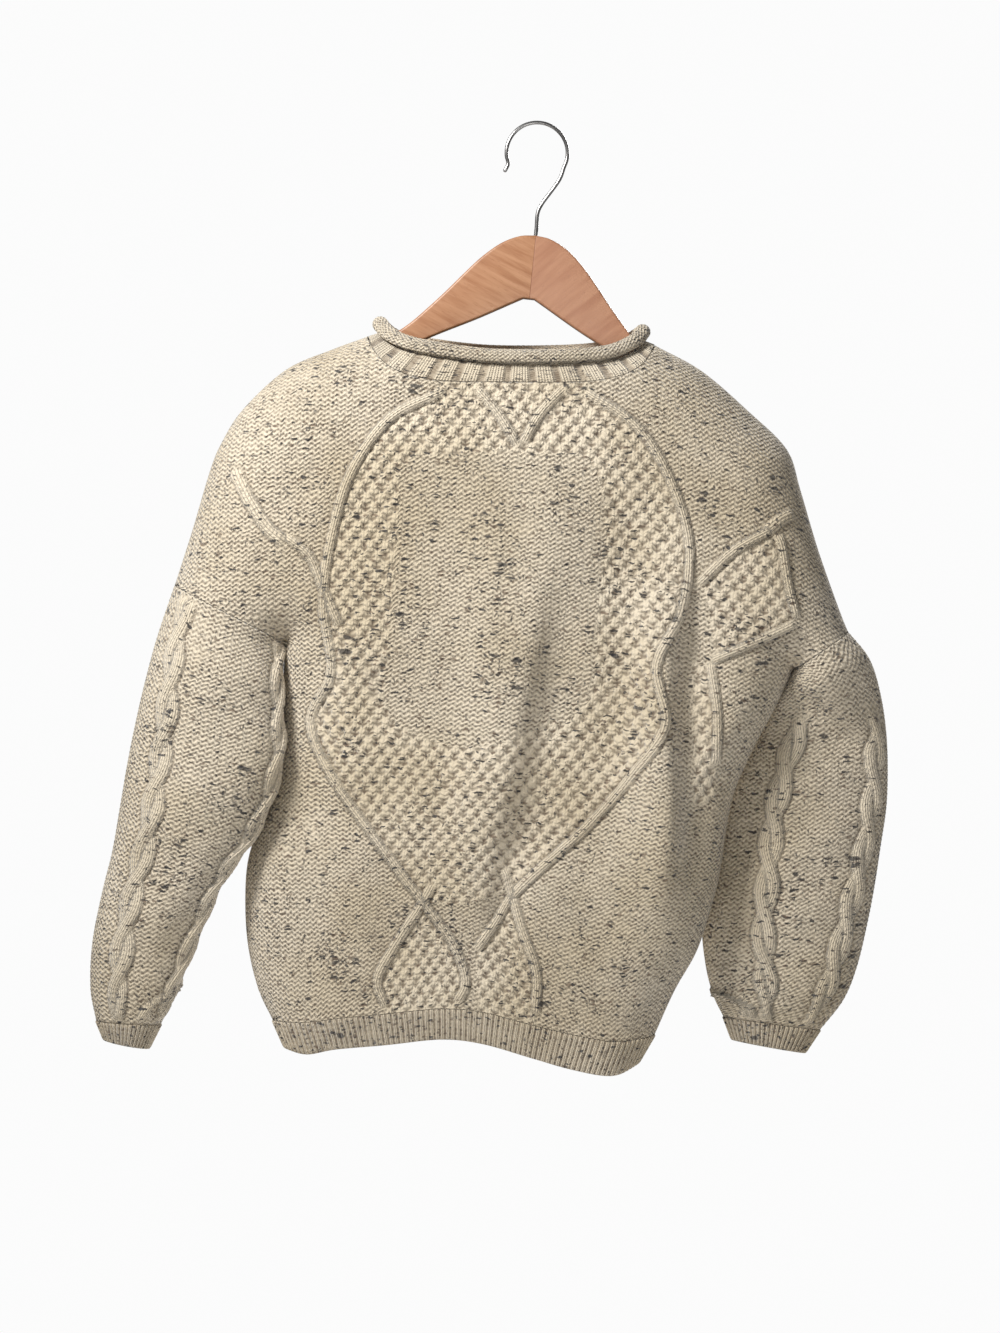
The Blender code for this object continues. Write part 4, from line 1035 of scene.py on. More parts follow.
class Sleeve:
    """A sleeve as sections round its length, which starts on the armhole's own ring."""

    def __init__(self, arm: Arm, panels: dict[Side, Panel]) -> None:
        """Lay out the sections of one sleeve."""
        self.arm = arm
        self.table = np.array([section.row() for section in SLEEVES[arm]])
        self.cuff = np.array(CUFFS[arm].row())
        self.panels = panels
        middles = (self.table[:, 0:2] + self.table[:, 2:4]) / 2
        self.places = lengths_along(middles)
        self.length = float(self.places[-1])
        self.shares = self.places / self.length
        self.crease = spline(SLEEVE_CREASE.path) if arm is Arm.RIGHT else None
        left = arm is Arm.LEFT
        seam, shoulder = (SIDE_LEFT, SHOULDER_LEFT) if left else (SIDE_RIGHT, SHOULDER_RIGHT)
        sign = 1 if left else -1
        line = unit(np.subtract(seam[-1], shoulder[0]).astype(float))
        self.out = np.array([line[1], -line[0]]) * sign

    def section(self, share: float) -> Points:
        """The section's six values at this share of the length."""
        fine = np.interp(np.clip(share, 0, 1), self.shares, np.arange(len(self.shares)))
        index = int(min(fine, len(self.shares) - 2))
        t = fine - index
        rows = self.table
        p1, p2 = rows[index], rows[index + 1]
        p0 = rows[index - 1] if index > 0 else 2 * p1 - p2
        p3 = rows[index + 2] if index + 2 < len(rows) else 2 * p2 - p1
        return 0.5 * (2 * p1 + (p2 - p0) * t + (2 * p0 - 5 * p1 + 4 * p2 - p3) * t**2
                      + (3 * p1 - p0 - 3 * p2 + p3) * t**3)

    def ring(self, degrees: Points, share: float) -> Points:
        """Points of the outer face, without cables.

        Args:
            degrees: Angles round the section, from the outer fold over the front.
            share: The share of the sleeve's length.

        Returns:
            3D points.
        """
        angle = np.radians(np.asarray(degrees, float))
        values = self.section(share)
        across = ((1 - np.cos(angle)) / 2)[:, None]
        flat = values[0:2] + (values[2:4] - values[0:2]) * across
        y = values[4] - values[5] * np.sin(angle)
        weight = 1 - eased(share / 0.16)
        if weight > 0:
            row = self.table[0]
            armhole = row[0:2] + (row[2:4] - row[0:2]) * np.clip(across, 0.002, 0.998)
            fore = eased(np.sin(angle) * 40 + 0.5)
            front, back = (self.panels[side].depth(armhole) for side in Side)
            matched = front * fore + back * (1 - fore)
            y = y * (1 - weight) + matched * weight
        if self.crease is not None:
            facing = np.clip(np.sin(angle), 0, 1)**0.7
            crease = fold_height(SLEEVE_CREASE, Nearest.of(flat, self.crease))
            y = y - crease * facing * eased(share / 0.05)
        place = across[:, 0]
        turn = 2 * math.pi
        soft = np.sin(turn * (3.4 * share + 0.9 * place + 0.3))
        soft = soft + 0.7 * np.sin(turn * (5.3 * share - 1.3 * place))
        fade = eased(share / 0.2) * eased((1 - share) / 0.2)
        y = y - 1.3 * soft * np.sin(angle) * fade
        if share <= 0:
            flat = flat + self.out * SEAM_GAP
        return np.stack([flat[:, 0], y, flat[:, 1]], axis=1)

    def build(self) -> bpy.types.Object:
        """Make the sleeve's mesh."""
        knitting = Knitting()
        fine = np.linspace(-180, 180, 541)
        count = round(self.length / DOWN_STEP)
        rings = [(share, self.ring(fine, share)) for share in np.linspace(0, 1, count + 1)]
        stack = np.array([ring[:-1] for _, ring in rings])
        around = np.roll(stack, -3, axis=1) - np.roll(stack, 3, axis=1)
        facing = unit(np.cross(around, np.gradient(stack, axis=0)))
        away = (facing * (stack - stack.mean(axis=1, keepdims=True))).sum(axis=2, keepdims=True)
        facing *= np.sign(away.mean())
        facing = np.concatenate([facing, facing[:, :1]], axis=1)
        half = max(lengths_along(ring)[-1] for _, ring in rings) / 2
        most = math.ceil(half / ACROSS_STEP)
        columns = np.arange(-most - 2, most + 3) * ACROSS_STEP
        base = np.zeros((len(rings), len(columns), 3))
        normal = np.zeros(base.shape)
        relief = np.zeros(base.shape[:2])
        stitch, place = np.zeros((*base.shape[:2], 2)), np.zeros((*base.shape[:2], 2))
        knit, groove = np.zeros(base.shape[:2]), np.zeros(base.shape[:2])
        free = np.zeros(base.shape[:2], bool)
        for row, (share, ring) in enumerate(rings):
            run = lengths_along(ring)
            centre = np.interp(0, fine, run)
            spots = np.clip(centre + columns, 0, run[-1])
            free[row] = (centre + columns > 0) & (centre + columns < run[-1])
            base[row] = np.stack([np.interp(spots, run, ring[:, axis]) for axis in range(3)], axis=1)
            normal[row] = unit(
                np.stack([np.interp(spots, run, facing[row][:, axis]) for axis in range(3)], axis=1))
            up = -row * DOWN_STEP / STITCH_HEIGHT + ROW_SHIFT
            stitch[row] = np.stack([(spots - centre) / STITCH_WIDTH, np.full(len(spots), up)], axis=1)
            ground = GROUND_RELIEF * purl_relief(stitch[row, :, 0], stitch[row, :, 1])
            fade = eased(share / 0.03) * eased((1 - share) / 0.03)
            height, on_cable = np.zeros(len(spots)), np.zeros(len(spots))
            for number, cable in enumerate(CABLES[self.arm]):
                degrees = np.interp(share, (0, 0.5, 1), cable)
                degrees = degrees - 360 if degrees > 180 else degrees
                middle = np.interp(degrees, fine, run)
                squeeze = 1 - 0.28 * eased((share - 0.86) / 0.1)
                offset = (spots - middle) / squeeze
                wrapped = np.where(offset < -run[-1] / 2, offset + run[-1], offset)
                offset = np.where(offset > run[-1] / 2, offset - run[-1], wrapped)
                rope, rope_place, mask, beside = rope_relief(offset, share * self.length, number)
                hidden = eased((share - 0.14) / 0.08) if self.arm is Arm.RIGHT else 1.0
                rope, mask, beside = rope * hidden, mask * hidden, beside * hidden
                groove[row] = np.maximum(groove[row], beside * fade)
                higher = rope > height
                height[higher], on_cable[higher] = rope[higher], mask[higher]
                place[row][higher] = rope_place[higher]
            edge = eased(np.minimum(spots, run[-1] - spots) / 5)
            ends = eased(min(row, count - row) / 1.6)
            plain = (ground - GROOVE_DEPTH * groove[row]) * (1 - on_cable) * ends
            relief[row] = (height * fade + plain) * edge
            knit[row] = on_cable * fade
        kept = free.any(axis=0)
        first, last = np.flatnonzero(kept)[[0, -1]]
        window = slice(max(first - 1, 0), last + 2)
        base, relief, stitch, place, knit, groove, free, normal = (
            item[:, window] for item in (base, relief, stitch, place, knit, groove, free, normal))
        ids = np.arange(relief.size).reshape(relief.shape)
        touched = free[:-1, :-1] | free[:-1, 1:] | free[1:, 1:] | free[1:, :-1]
        for row in range(len(ids)):
            inner = np.flatnonzero(free[row])
            ids[row, :inner[0]] = ids[row, inner[0] - 1]
            ids[row, inner[-1] + 1:] = ids[row, inner[-1] + 1]
        corners = grid_cells(ids)[touched]
        flat_base, normal = base.reshape(-1, 3), normal.reshape(-1, 3)
        flip = (point_normals(flat_base, corners) * normal).sum(axis=1)[free.ravel()].mean() < 0
        if flip:
            corners = corners[:, ::-1]
        outer = knitting.add(flat_base + normal * relief.reshape(-1, 1), stitch.reshape(-1, 2),
                             place.reshape(-1, 2), 0.0, knit.ravel(), groove.ravel())
        knitting.quads(outer[corners])
        coarse = np.linspace(-180, 180, 49)
        wall_rows = []
        for share in np.linspace(0, 1, 40):
            ring = self.ring(coarse, share)
            around = np.roll(ring[:-1], -1, axis=0) - np.roll(ring[:-1], 1, axis=0)
            low = self.ring(coarse[:-1], max(share - 0.01, 0.001))
            high = self.ring(coarse[:-1], min(share + 0.01, 1))
            out = unit(np.cross(around, high - low))
            out = turned_along(out, ring[:-1] - ring[:-1].mean(axis=0))
            if share <= 0 or share >= 1:
                square = np.array([self.out[0], 0, self.out[1]]) if share <= 0 else self.end_direction()
                out = unit(out - (out @ square)[:, None] * square)
            out = np.vstack([out, out[:1]])
            where = np.stack([np.linspace(0, 40, 49), np.full(49, share * 100)], axis=1)
            wall_rows.append(knitting.add(ring - out * WALL, where, where, 0.0, 1.0))
        walls = np.array(wall_rows)
        rings_of = [np.concatenate([[row_ids[np.flatnonzero(row_free)[0] - 1]], row_ids[row_free],
                                    [row_ids[np.flatnonzero(row_free)[-1] + 1]]])
                    for row_ids, row_free in zip(ids, free)]
        knitting.grid(walls, not flip)
        knitting.strip(rings_of[0], walls[0], not flip)
        knitting.strip(rings_of[-1], walls[-1], flip)
        return knitting.to_object(f"sleeve_{self.arm.value}_knit")

    def end_direction(self) -> Points:
        """The direction out of the sleeve's lower end, square to its last section."""
        values = self.table[-1]
        fold = unit(values[2:4] - values[0:2])
        square = np.array([fold[1], 0.0, -fold[0]])
        return square if square[2] < 0 else -square


class Cuff:
    """The ribbed cuff under a sleeve."""

    samples = 6
    rows = 18

    def __init__(self, sleeve: Sleeve) -> None:
        """Keep the sleeve that it hangs from."""
        self.sleeve = sleeve
        self.top = sleeve.section(1.0)

    def base(self, degrees: Points, down: float) -> Points:
        """3D points of the outer face at these angles and this share of the way down."""
        angle = np.radians(np.asarray(degrees, float))
        values = self.top + (self.sleeve.cuff - self.top) * down
        across = ((1 - np.cos(angle)) / 2)[:, None]
        flat = values[0:2] + (values[2:4] - values[0:2]) * across
        square = self.sleeve.end_direction()
        flat = flat + square[[0, 2]] * SEAM_GAP
        return np.stack([flat[:, 0], values[4] - values[5] * np.sin(angle), flat[:, 1]], axis=1)

    def outward(self, degrees: Points, down: float) -> Points:
        """Directions out of the cuff."""
        around = self.base(degrees + 2, down) - self.base(degrees - 2, down)
        normal = unit(np.cross(around, self.sleeve.end_direction()))
        middle = self.base(np.arange(0, 360, 30), down).mean(axis=0)
        return turned_along(normal, self.base(degrees, down) - middle)

    def build(self) -> bpy.types.Object:
        """Make the cuff's mesh."""
        knitting = Knitting()
        fine = np.linspace(0, 360, 721)
        run = lengths_along(self.base(fine, 0.0))
        ribs = np.linspace(0, CUFF_RIBS, CUFF_RIBS * self.samples + 1)
        angles = np.interp(ribs / CUFF_RIBS * run[-1], run, fine)
        plain = np.interp(np.linspace(0, run[-1], 33), run, fine)
        outer_ids, inner_ids = [], []
        for down in np.linspace(0, 1, self.rows):
            rows = down * 5
            bump, knit = rib_profile(ribs, rows)
            lip = (eased(down / 0.06) * 0.6 + 0.4) * (1 - 0.4 * eased((down - 0.92) / 0.08))
            outer = self.base(angles, down) + self.outward(angles, down) * (bump * lip * 0.92)[:, None]
            where = np.stack([ribs, np.full(len(ribs), -rows)], axis=1)
            outer_ids.append(knitting.add(outer, where, where, 0.0, knit))
        for down in np.linspace(0, 1, 4):
            wall = self.base(plain, down) - self.outward(plain, down) * (WALL - 0.6)
            where = np.stack([np.linspace(0, CUFF_RIBS, 33), np.full(33, down * 5)], axis=1)
            inner_ids.append(knitting.add(wall, where, where, 0.0, 1.0))
        close_wall(knitting, np.array(outer_ids), np.array(inner_ids), False, False)
        return knitting.to_object(f"cuff_{self.sleeve.arm.value}_knit")


class Neck:
    """The ribbed band picked up round the neck, and the edge that rolls outwards above it."""

    samples = 11
    rows = 20

    def __init__(self, panels: dict[Side, Panel]) -> None:
        """Draw the rolled edge's lines."""
        self.panels = panels
        self.rolls = {side: spline(ROLL[side.value], 2.0) for side in Side}

    def around(self, turns: Points) -> list[tuple[Side, Points, Points]]:
        """Split places round the neck, from 0 to 56, into the front's and the back's with their shares."""
        split = []
        for side, chosen in ((Side.FRONT, turns <= NECK_RIBS), (Side.BACK, turns > NECK_RIBS)):
            place = turns[chosen] if side is Side.FRONT else 2 * NECK_RIBS - turns[chosen]
            split.append((side, np.flatnonzero(chosen), (1 - np.cos(math.pi * place / NECK_RIBS)) / 2))
        return split

    def low_edge(self, turns: Points) -> tuple[Points, Points]:
        """The panels' neck edges as one ring.

        Args:
            turns: Places round the neck, from 0 to 56.

        Returns:
            3D points of the edge and of the wall's inner side.
        """
        outer, wall = np.zeros((len(turns), 3)), np.zeros((len(turns), 3))
        for side, chosen, shares in self.around(turns):
            panel = self.panels[side]
            line = panel.neck
            points = at_fractions(line, shares)
            following, before = (at_fractions(line, np.clip(shares + step, 0, 1)) for step in (0.01, -0.01))
            ahead = unit(following - before)
            square = np.stack([-ahead[:, 1], np.zeros(len(points)), ahead[:, 0]], axis=1)
            edge = panel.lift(points)
            fade = np.clip(4 * shares * (1 - shares), 0, 1)
            edge[:, 1] *= eased(fade * 60)
            outer[chosen] = edge + square * SEAM_GAP
            thickness = np.minimum(WALL, np.abs(edge[:, 1]))[:, None]
            wall[chosen] = outer[chosen] - np.array([0, panel.facing, 0]) * thickness
        return outer, wall

    def roll_line(self, turns: Points) -> Points:
        """The middle line of the rolled edge."""
        path = np.zeros((len(turns), 3))
        for side, chosen, shares in self.around(turns):
            line = self.rolls[side]
            flat = at_fractions(line, shares)
            across = (flat[:, 0] - line[0, 0]) / (line[-1, 0] - line[0, 0])
            sign = -1.0 if side is Side.FRONT else 1.0
            y = sign * NECK_HALF_DEPTH * np.clip(4 * across * (1 - across), 0, 1)**0.42
            path[chosen] = np.stack([flat[:, 0], y, flat[:, 1]], axis=1)
        return path

    def frames(self, turns: Points) -> tuple[Points, Points, Points]:
        """The roll's stations and the directions up and outwards from it."""
        path = self.roll_line(turns)
        around = 2 * NECK_RIBS
        ahead = unit(self.roll_line((turns + 0.5) % around) - self.roll_line((turns - 0.5) % around))
        up = np.tile([0.0, 0.0, 1.0], (len(path), 1))
        up = unit(up - (up * ahead).sum(axis=1)[:, None] * ahead)
        out = np.cross(up, ahead)
        centre = self.roll_line(np.arange(0, around, 1.0)).mean(axis=0)
        return path, up, turned_along(out, path - centre)

    def build_band(self) -> bpy.types.Object:
        """Make the ribbed neckband's mesh."""
        knitting = Knitting()
        around = 2 * NECK_RIBS
        turns = np.linspace(0, around, around * self.samples + 1)
        low, low_wall = self.low_edge(turns)
        path, up, out = self.frames(turns)
        high = path - out * 1.0 - up * (ROLL_RADIUS + 0.1)
        ring_run = lengths_along(0.5 * (low + high))
        place = ring_run / ring_run[-1] * NECK_RIBS
        phase = place - np.floor(place)
        off = np.abs(phase - 0.5)
        inner_ids, outer_ids = [], []
        for share in np.linspace(0, 1, self.rows):
            rows = share * 8
            column = (phase - 0.5) / 0.23
            block = eased((0.39 - off) / 0.06)
            body = 1.0 - 0.3 * np.exp(-((np.abs(column) - 0.5) / 0.12)**2) - 0.1 * np.exp(-(column / 0.1)**2)
            vee = 0.85 + 0.15 * np.cos(2 * math.pi * (rows - 0.8 * np.abs(column - np.round(column))))
            fade = eased(share / 0.18) * (1 - 0.4 * share)
            height = 2.3 * block * body * vee * fade
            centre = low + (high - low) * share
            ring = centre[:-1]
            tangent = np.roll(ring, -1, axis=0) - np.roll(ring, 1, axis=0)
            flat = unit(np.stack([tangent[:, 1], -tangent[:, 0], np.zeros(len(ring))], axis=1))
            flat = turned_along(flat, ring - ring.mean(axis=0))
            flat = np.vstack([flat, flat[:1]])
            where = np.stack([place * 3, np.full(len(turns), rows)], axis=1)
            cord = np.stack([column + 0.5, np.full(len(turns), rows)], axis=1)
            outer_ids.append(knitting.add(centre + flat * height[:, None], where, cord, 0.0, block))
            if len(inner_ids) == 0 or share >= (len(inner_ids)) / 5 - 1e-6:
                wall = centre - flat * (WALL - 0.4)
                wall = low_wall if share == 0 else wall
                inner_ids.append(knitting.add(wall[::4], where[::4], where[::4], 0.0, 0.0))
        close_wall(knitting, np.array(outer_ids), np.array(inner_ids), False, False)
        return knitting.to_object("neck_rib_knit")

    def build_roll(self) -> bpy.types.Object:
        """Make the rolled edge: a wall curled outwards and under, swept round the neck."""
        knitting = Knitting()
        around = 2 * NECK_RIBS
        turns = np.linspace(0, around, 481)
        path, up, out = self.frames(turns)
        run = lengths_along(path)
        outer_turns = np.radians(np.linspace(252, -42, 34))
        inner_turns = np.radians(np.linspace(252, -42, 14))
        outer_ids, inner_ids = [], []
        for number, turn in enumerate(outer_turns):
            across = run / 4.4
            rows = np.full(len(run), number * 0.33 + 0.25)
            ends = min(number, len(outer_turns) - 1 - number) / 2
            bump = 0.34 * purl_relief(across, rows) * eased(ends)
            radius = (ROLL_RADIUS + bump)[:, None]
            points = path + out * radius * math.cos(turn) + up * radius * math.sin(turn)
            where = np.stack([across, rows], axis=1)
            outer_ids.append(knitting.add(points, where, where, 0.0, 0.0))
        hollow = ROLL_RADIUS - ROLL_WALL
        for number, turn in enumerate(inner_turns):
            points = path + out * hollow * math.cos(turn) + up * hollow * math.sin(turn)
            where = np.stack([run / 4.6, np.full(len(run), number)], axis=1)
            inner_ids.append(knitting.add(points, where, where, 0.0, 1.0))
        close_wall(knitting, np.array(outer_ids), np.array(inner_ids), False, False)
        return knitting.to_object("neck_roll_knit")


def tilted(point: Sequence[float]) -> tuple[float, float]:
    """A point of the hanger's own frame, tilted and hung under the hook."""
    x, z = point
    cos, sin = math.cos(HANGER_TILT), math.sin(HANGER_TILT)
    return x * cos + z * sin + HUMP_TOP[0], -x * sin + z * cos + HUMP_TOP[1]


class Hanger:
    """The beech hanger: one flat board of even thickness with eased edges."""

    def build(self) -> bpy.types.Object:
        """Make the board's mesh."""
        top = spline(HANGER_TOP, 4.0)
        low = spline(HANGER_LOW, 5.0)
        half = np.vstack([top[1:], spline((HANGER_TOP[-1], HANGER_LOW[0]), 3.0)[1:-1], low])
        outline = [tilted(point) for point in [top[0], *half, *((-x, z) for x, z in half[::-1])]]
        mesh = bpy.data.meshes.new("hanger_board")
        work = bmesh.new()
        face = work.faces.new([work.verts.new((x * MM, -HANGER_THICK / 2 * MM, z * MM)) for x, z in outline])
        work.normal_update()
        if face.normal.y > 0:
            face.normal_flip()
        pushed = bmesh.ops.extrude_face_region(work, geom=[face])
        moved = [item for item in pushed["geom"] if isinstance(item, bmesh.types.BMVert)]
        bmesh.ops.translate(work, verts=moved, vec=(0, HANGER_THICK * MM, 0))
        bmesh.ops.recalc_face_normals(work, faces=work.faces)
        rims = [edge for edge in work.edges if len({round(vert.co.y, 5) for vert in edge.verts}) == 1]
        bmesh.ops.bevel(work, geom=rims, offset=2.2 * MM, segments=4, profile=0.5, affect="EDGES",
                        clamp_overlap=True)
        bmesh.ops.triangulate(work, faces=[face for face in work.faces if len(face.verts) > 4])
        work.to_mesh(mesh)
        work.free()
        mesh.shade_smooth()
        mesh.set_sharp_from_angle(angle=math.radians(40))
        return placed("hanger_board", mesh)


@dataclass
class Hook:
    """The bent wire hook, swept along its path by geometry nodes."""

    material: bpy.types.Material
    sides: int = 16

    def path(self) -> Points:
        """The wire's middle line, from the shank's foot in the wood to its free end."""
        neck = [tilted((0, -SHANK_DEPTH + 1.0)), tilted((0, -6)), tilted((0.2, 6)), (0.6, -80), (4.8, -71),
                (13.0, -60), (20.6, -49)]
        middle = WIRE / 2 - HOOK_RADIUS
        arc = [(HOOK_RADIUS * math.cos(turn), middle + HOOK_RADIUS * math.sin(turn))
               for turn in map(math.radians, range(-28, 205, 12))]
        tip = (arc[-1][0] - 3.0, arc[-1][1] - 6.5)
        return evenly(spline(neck + arc + [tip], 1.5), 2.5)

    def tree(self) -> bpy.types.GeometryNodeTree:
        """Make the nodes that sweep a round wire along the path."""
        tree = bpy.data.node_groups.new("wire_along_path", "GeometryNodeTree")
        for name, flow, kind in (("Path", "INPUT", "Geometry"), ("Wire Radius", "INPUT", "Float"),
                                 ("Sides", "INPUT", "Int"), ("Wire", "OUTPUT", "Geometry")):
            tree.interface.new_socket(name, in_out=flow, socket_type=f"NodeSocket{kind}")
        kinds = ("NodeGroupInput", "GeometryNodeMeshToCurve", "GeometryNodeInputNamedAttribute",
                 "GeometryNodeSetCurveRadius", "GeometryNodeCurvePrimitiveCircle", "GeometryNodeCurveToMesh",
                 "GeometryNodeRealizeInstances", "GeometryNodeSetMaterial", "NodeGroupOutput")
        nodes = [tree.nodes.new(kind) for kind in kinds]
        given, curve, share, thick, circle, swept, real, finish, out = nodes
        share.data_type = "FLOAT"
        share.inputs["Name"].default_value = "thickness"
        swept.inputs["Fill Caps"].default_value = True
        finish.inputs["Material"].default_value = self.material
        width = swept.inputs.get("Scale") or thick.inputs["Radius"]
        for source, target in (
            (given.outputs["Path"], curve.inputs["Mesh"]),
            (given.outputs["Wire Radius"], circle.inputs["Radius"]),
            (given.outputs["Sides"], circle.inputs["Resolution"]),
            (curve.outputs["Curve"], thick.inputs["Curve"]),
            (share.outputs["Attribute"], width), (thick.outputs["Curve"], swept.inputs["Curve"]),
            (circle.outputs["Curve"], swept.inputs["Profile Curve"]), (swept.outputs["Mesh"], real.inputs[0]),
            (real.outputs[0], finish.inputs["Geometry"]), (finish.outputs["Geometry"], out.inputs["Wire"]),
        ):
            tree.links.new(source, target)
        return tree

    def build(self) -> bpy.types.Object:
        """Make the wire's mesh, a round tube with rounded ends."""
        path = self.path()
        ahead = unit(np.gradient(path, axis=0))
        tip = [path[-1] + ahead[-1] * reach for reach in (0.5, 0.95, 1.25)]
        foot = path[0] - ahead[0] * 0.3
        line = np.vstack([foot, path, tip])
        sizes = np.concatenate([[0.55], np.ones(len(path)), [0.93, 0.74, 0.42]])
        mesh = bpy.data.meshes.new("hook_wire")
        links = [(point, point + 1) for point in range(len(line) - 1)]
        mesh.from_pydata([(x * MM, 0, z * MM) for x, z in line], links, [])
        mesh.attributes.new("thickness", "FLOAT", "POINT").data.foreach_set("value", sizes)
        obj = placed("hook_wire", mesh)
        sweep = obj.modifiers.new("wire", "NODES")
        sweep.node_group = self.tree()
        sizes_by_name = {"Wire Radius": WIRE / 2 * MM, "Sides": self.sides}
        for item in sweep.node_group.interface.items_tree:
            if item.in_out == "INPUT" and item.name in sizes_by_name:
                sweep[item.identifier] = sizes_by_name[item.name]
        ready = obj.evaluated_get(bpy.context.evaluated_depsgraph_get())
        wire = bpy.data.meshes.new_from_object(ready)
        obj.modifiers.clear()
        obj.data = wire
        work = bmesh.new()
        work.from_mesh(wire)
        bmesh.ops.remove_doubles(work, verts=work.verts, dist=0.01 * MM)
        bmesh.ops.recalc_face_normals(work, faces=work.faces)
        work.to_mesh(wire)
        work.free()
        wire.shade_smooth()
        return obj


class Value:
    """A number in a shader: Python's operators add the Math nodes that work it out."""

    def __init__(self, shader: "Shader", source: Any) -> None:
        """Wrap a socket or a plain number."""
        self.shader = shader
        self.source = source

    def math(self, operation: str, *others: Any) -> "Value":
        """Add a Math node with this value first."""
        values = [self.source, *(other.source if isinstance(other, Value) else other for other in others)]
        node = self.shader.node("ShaderNodeMath", {"operation": operation}, dict(enumerate(values)))
        return Value(self.shader, node.outputs[0])

    def __add__(self, other: Any) -> "Value":
        """Sum."""
        return self.math("ADD", other)

    def __sub__(self, other: Any) -> "Value":
        """Difference."""
        return self.math("SUBTRACT", other)

    def __rsub__(self, other: Any) -> "Value":
        """Difference from a number."""
        return Value(self.shader, other).math("SUBTRACT", self)

    def __mul__(self, other: Any) -> "Value":
        """Product."""
        return self.math("MULTIPLY", other)

    def __truediv__(self, other: Any) -> "Value":
        """Quotient."""
        return self.math("DIVIDE", other)

    def __pow__(self, other: Any) -> "Value":
        """Power."""
        return self.math("POWER", other)

    __radd__ = __add__
    __rmul__ = __mul__

    def cos(self) -> "Value":
        """Cosine of this value in radians."""
        return self.math("COSINE")

    def abs(self) -> "Value":
        """Size without sign."""
        return self.math("ABSOLUTE")

    def step(self, low: float, high: float) -> "Value":
        """0 below the low value and 1 above the high one, with soft ends."""
        node = self.shader.node("ShaderNodeMapRange", {"interpolation_type": "SMOOTHSTEP"},
                                {"Value": self.source, "From Min": low, "From Max": high})
        return Value(self.shader, node.outputs[0])


class Shader:
    """A material's nodes."""

    def __init__(self, name: str) -> None:
        """Start a material that has only a surface shader."""
        self.material = bpy.data.materials.new(name)
        self.material.use_nodes = True
        self.tree = self.material.node_tree
        self.surface = self.tree.nodes["Principled BSDF"]

    def node(self, kind: str, settings: dict[str, Any] | None = None,
             sockets: dict[Any, Any] | None = None) -> bpy.types.Node:
        """Add a node.

        Args:
            kind: The node's type.
            settings: Its own properties, set first.
            sockets: Values or links of its inputs, by number, identifier or name.

        Returns:
            The node.
        """
        node = self.tree.nodes.new(kind)
        for key, value in (settings or {}).items():
            setattr(node, key, value)
        for key, value in (sockets or {}).items():
            if isinstance(key, int):
                socket = node.inputs[key]
            else:
                exact = (item for item in node.inputs if item.identifier == key)
                socket = next(exact, None) or node.inputs[key]
            self.feed(socket, value)
        return node

    def feed(self, socket: bpy.types.NodeSocket, value: Any) -> None:
        """Set or link one input."""
        value = value.source if isinstance(value, Value) else value
        if isinstance(value, bpy.types.NodeSocket):
            self.tree.links.new(value, socket)
        elif value is not None:
            socket.default_value = value

    def value(self, socket: bpy.types.NodeSocket) -> Value:
        """A socket as a value to work with."""
        return Value(self, socket)

    def blend(self, factor: Any, first: Any, second: Any) -> bpy.types.NodeSocket:
        """Mix two colours."""
        node = self.node("ShaderNodeMix", {"data_type": "RGBA", "clamp_factor": True},
                         {"Factor_Float": factor, "A_Color": first, "B_Color": second})
        return next(item for item in node.outputs if item.identifier == "Result_Color")

    def lerp(self, factor: Value, first: Value, second: Value) -> Value:
        """Mix two numbers."""
        return first + (second - first) * factor

    def scaled(self, vector: bpy.types.NodeSocket, by: tuple[float, float, float],
               shift: tuple[float, float, float] = (0, 0, 0)) -> bpy.types.NodeSocket:
        """A vector times another, and moved."""
        node = self.node("ShaderNodeVectorMath", {"operation": "MULTIPLY_ADD"}, {0: vector, 1: by, 2: shift})
        return node.outputs[0]

    def noise(self, vector: bpy.types.NodeSocket, scale: float, detail: float = 2.0,
              rough: float = 0.5) -> Value:
        """Soft noise from 0 to 1."""
        node = self.node("ShaderNodeTexNoise", {"noise_dimensions": "3D"},
                         {"Vector": vector, "Scale": scale, "Detail": detail, "Roughness": rough})
        return self.value(node.outputs[0])

    def separate(self, vector: bpy.types.NodeSocket) -> tuple[Value, Value, Value]:
        """A vector's three numbers."""
        node = self.node("ShaderNodeSeparateXYZ", {}, {0: vector})
        return tuple(self.value(output) for output in node.outputs[:3])


def linear(red: float, green: float, blue: float) -> tuple[float, float, float, float]:
    """A display colour from 0 to 255 as linear light."""
    def one(value: float) -> float:
        """One channel."""
        share = value / 255
        return share / 12.92 if share <= 0.04045 else ((share + 0.055) / 1.055)**2.4
    return one(red), one(green), one(blue), 1.0


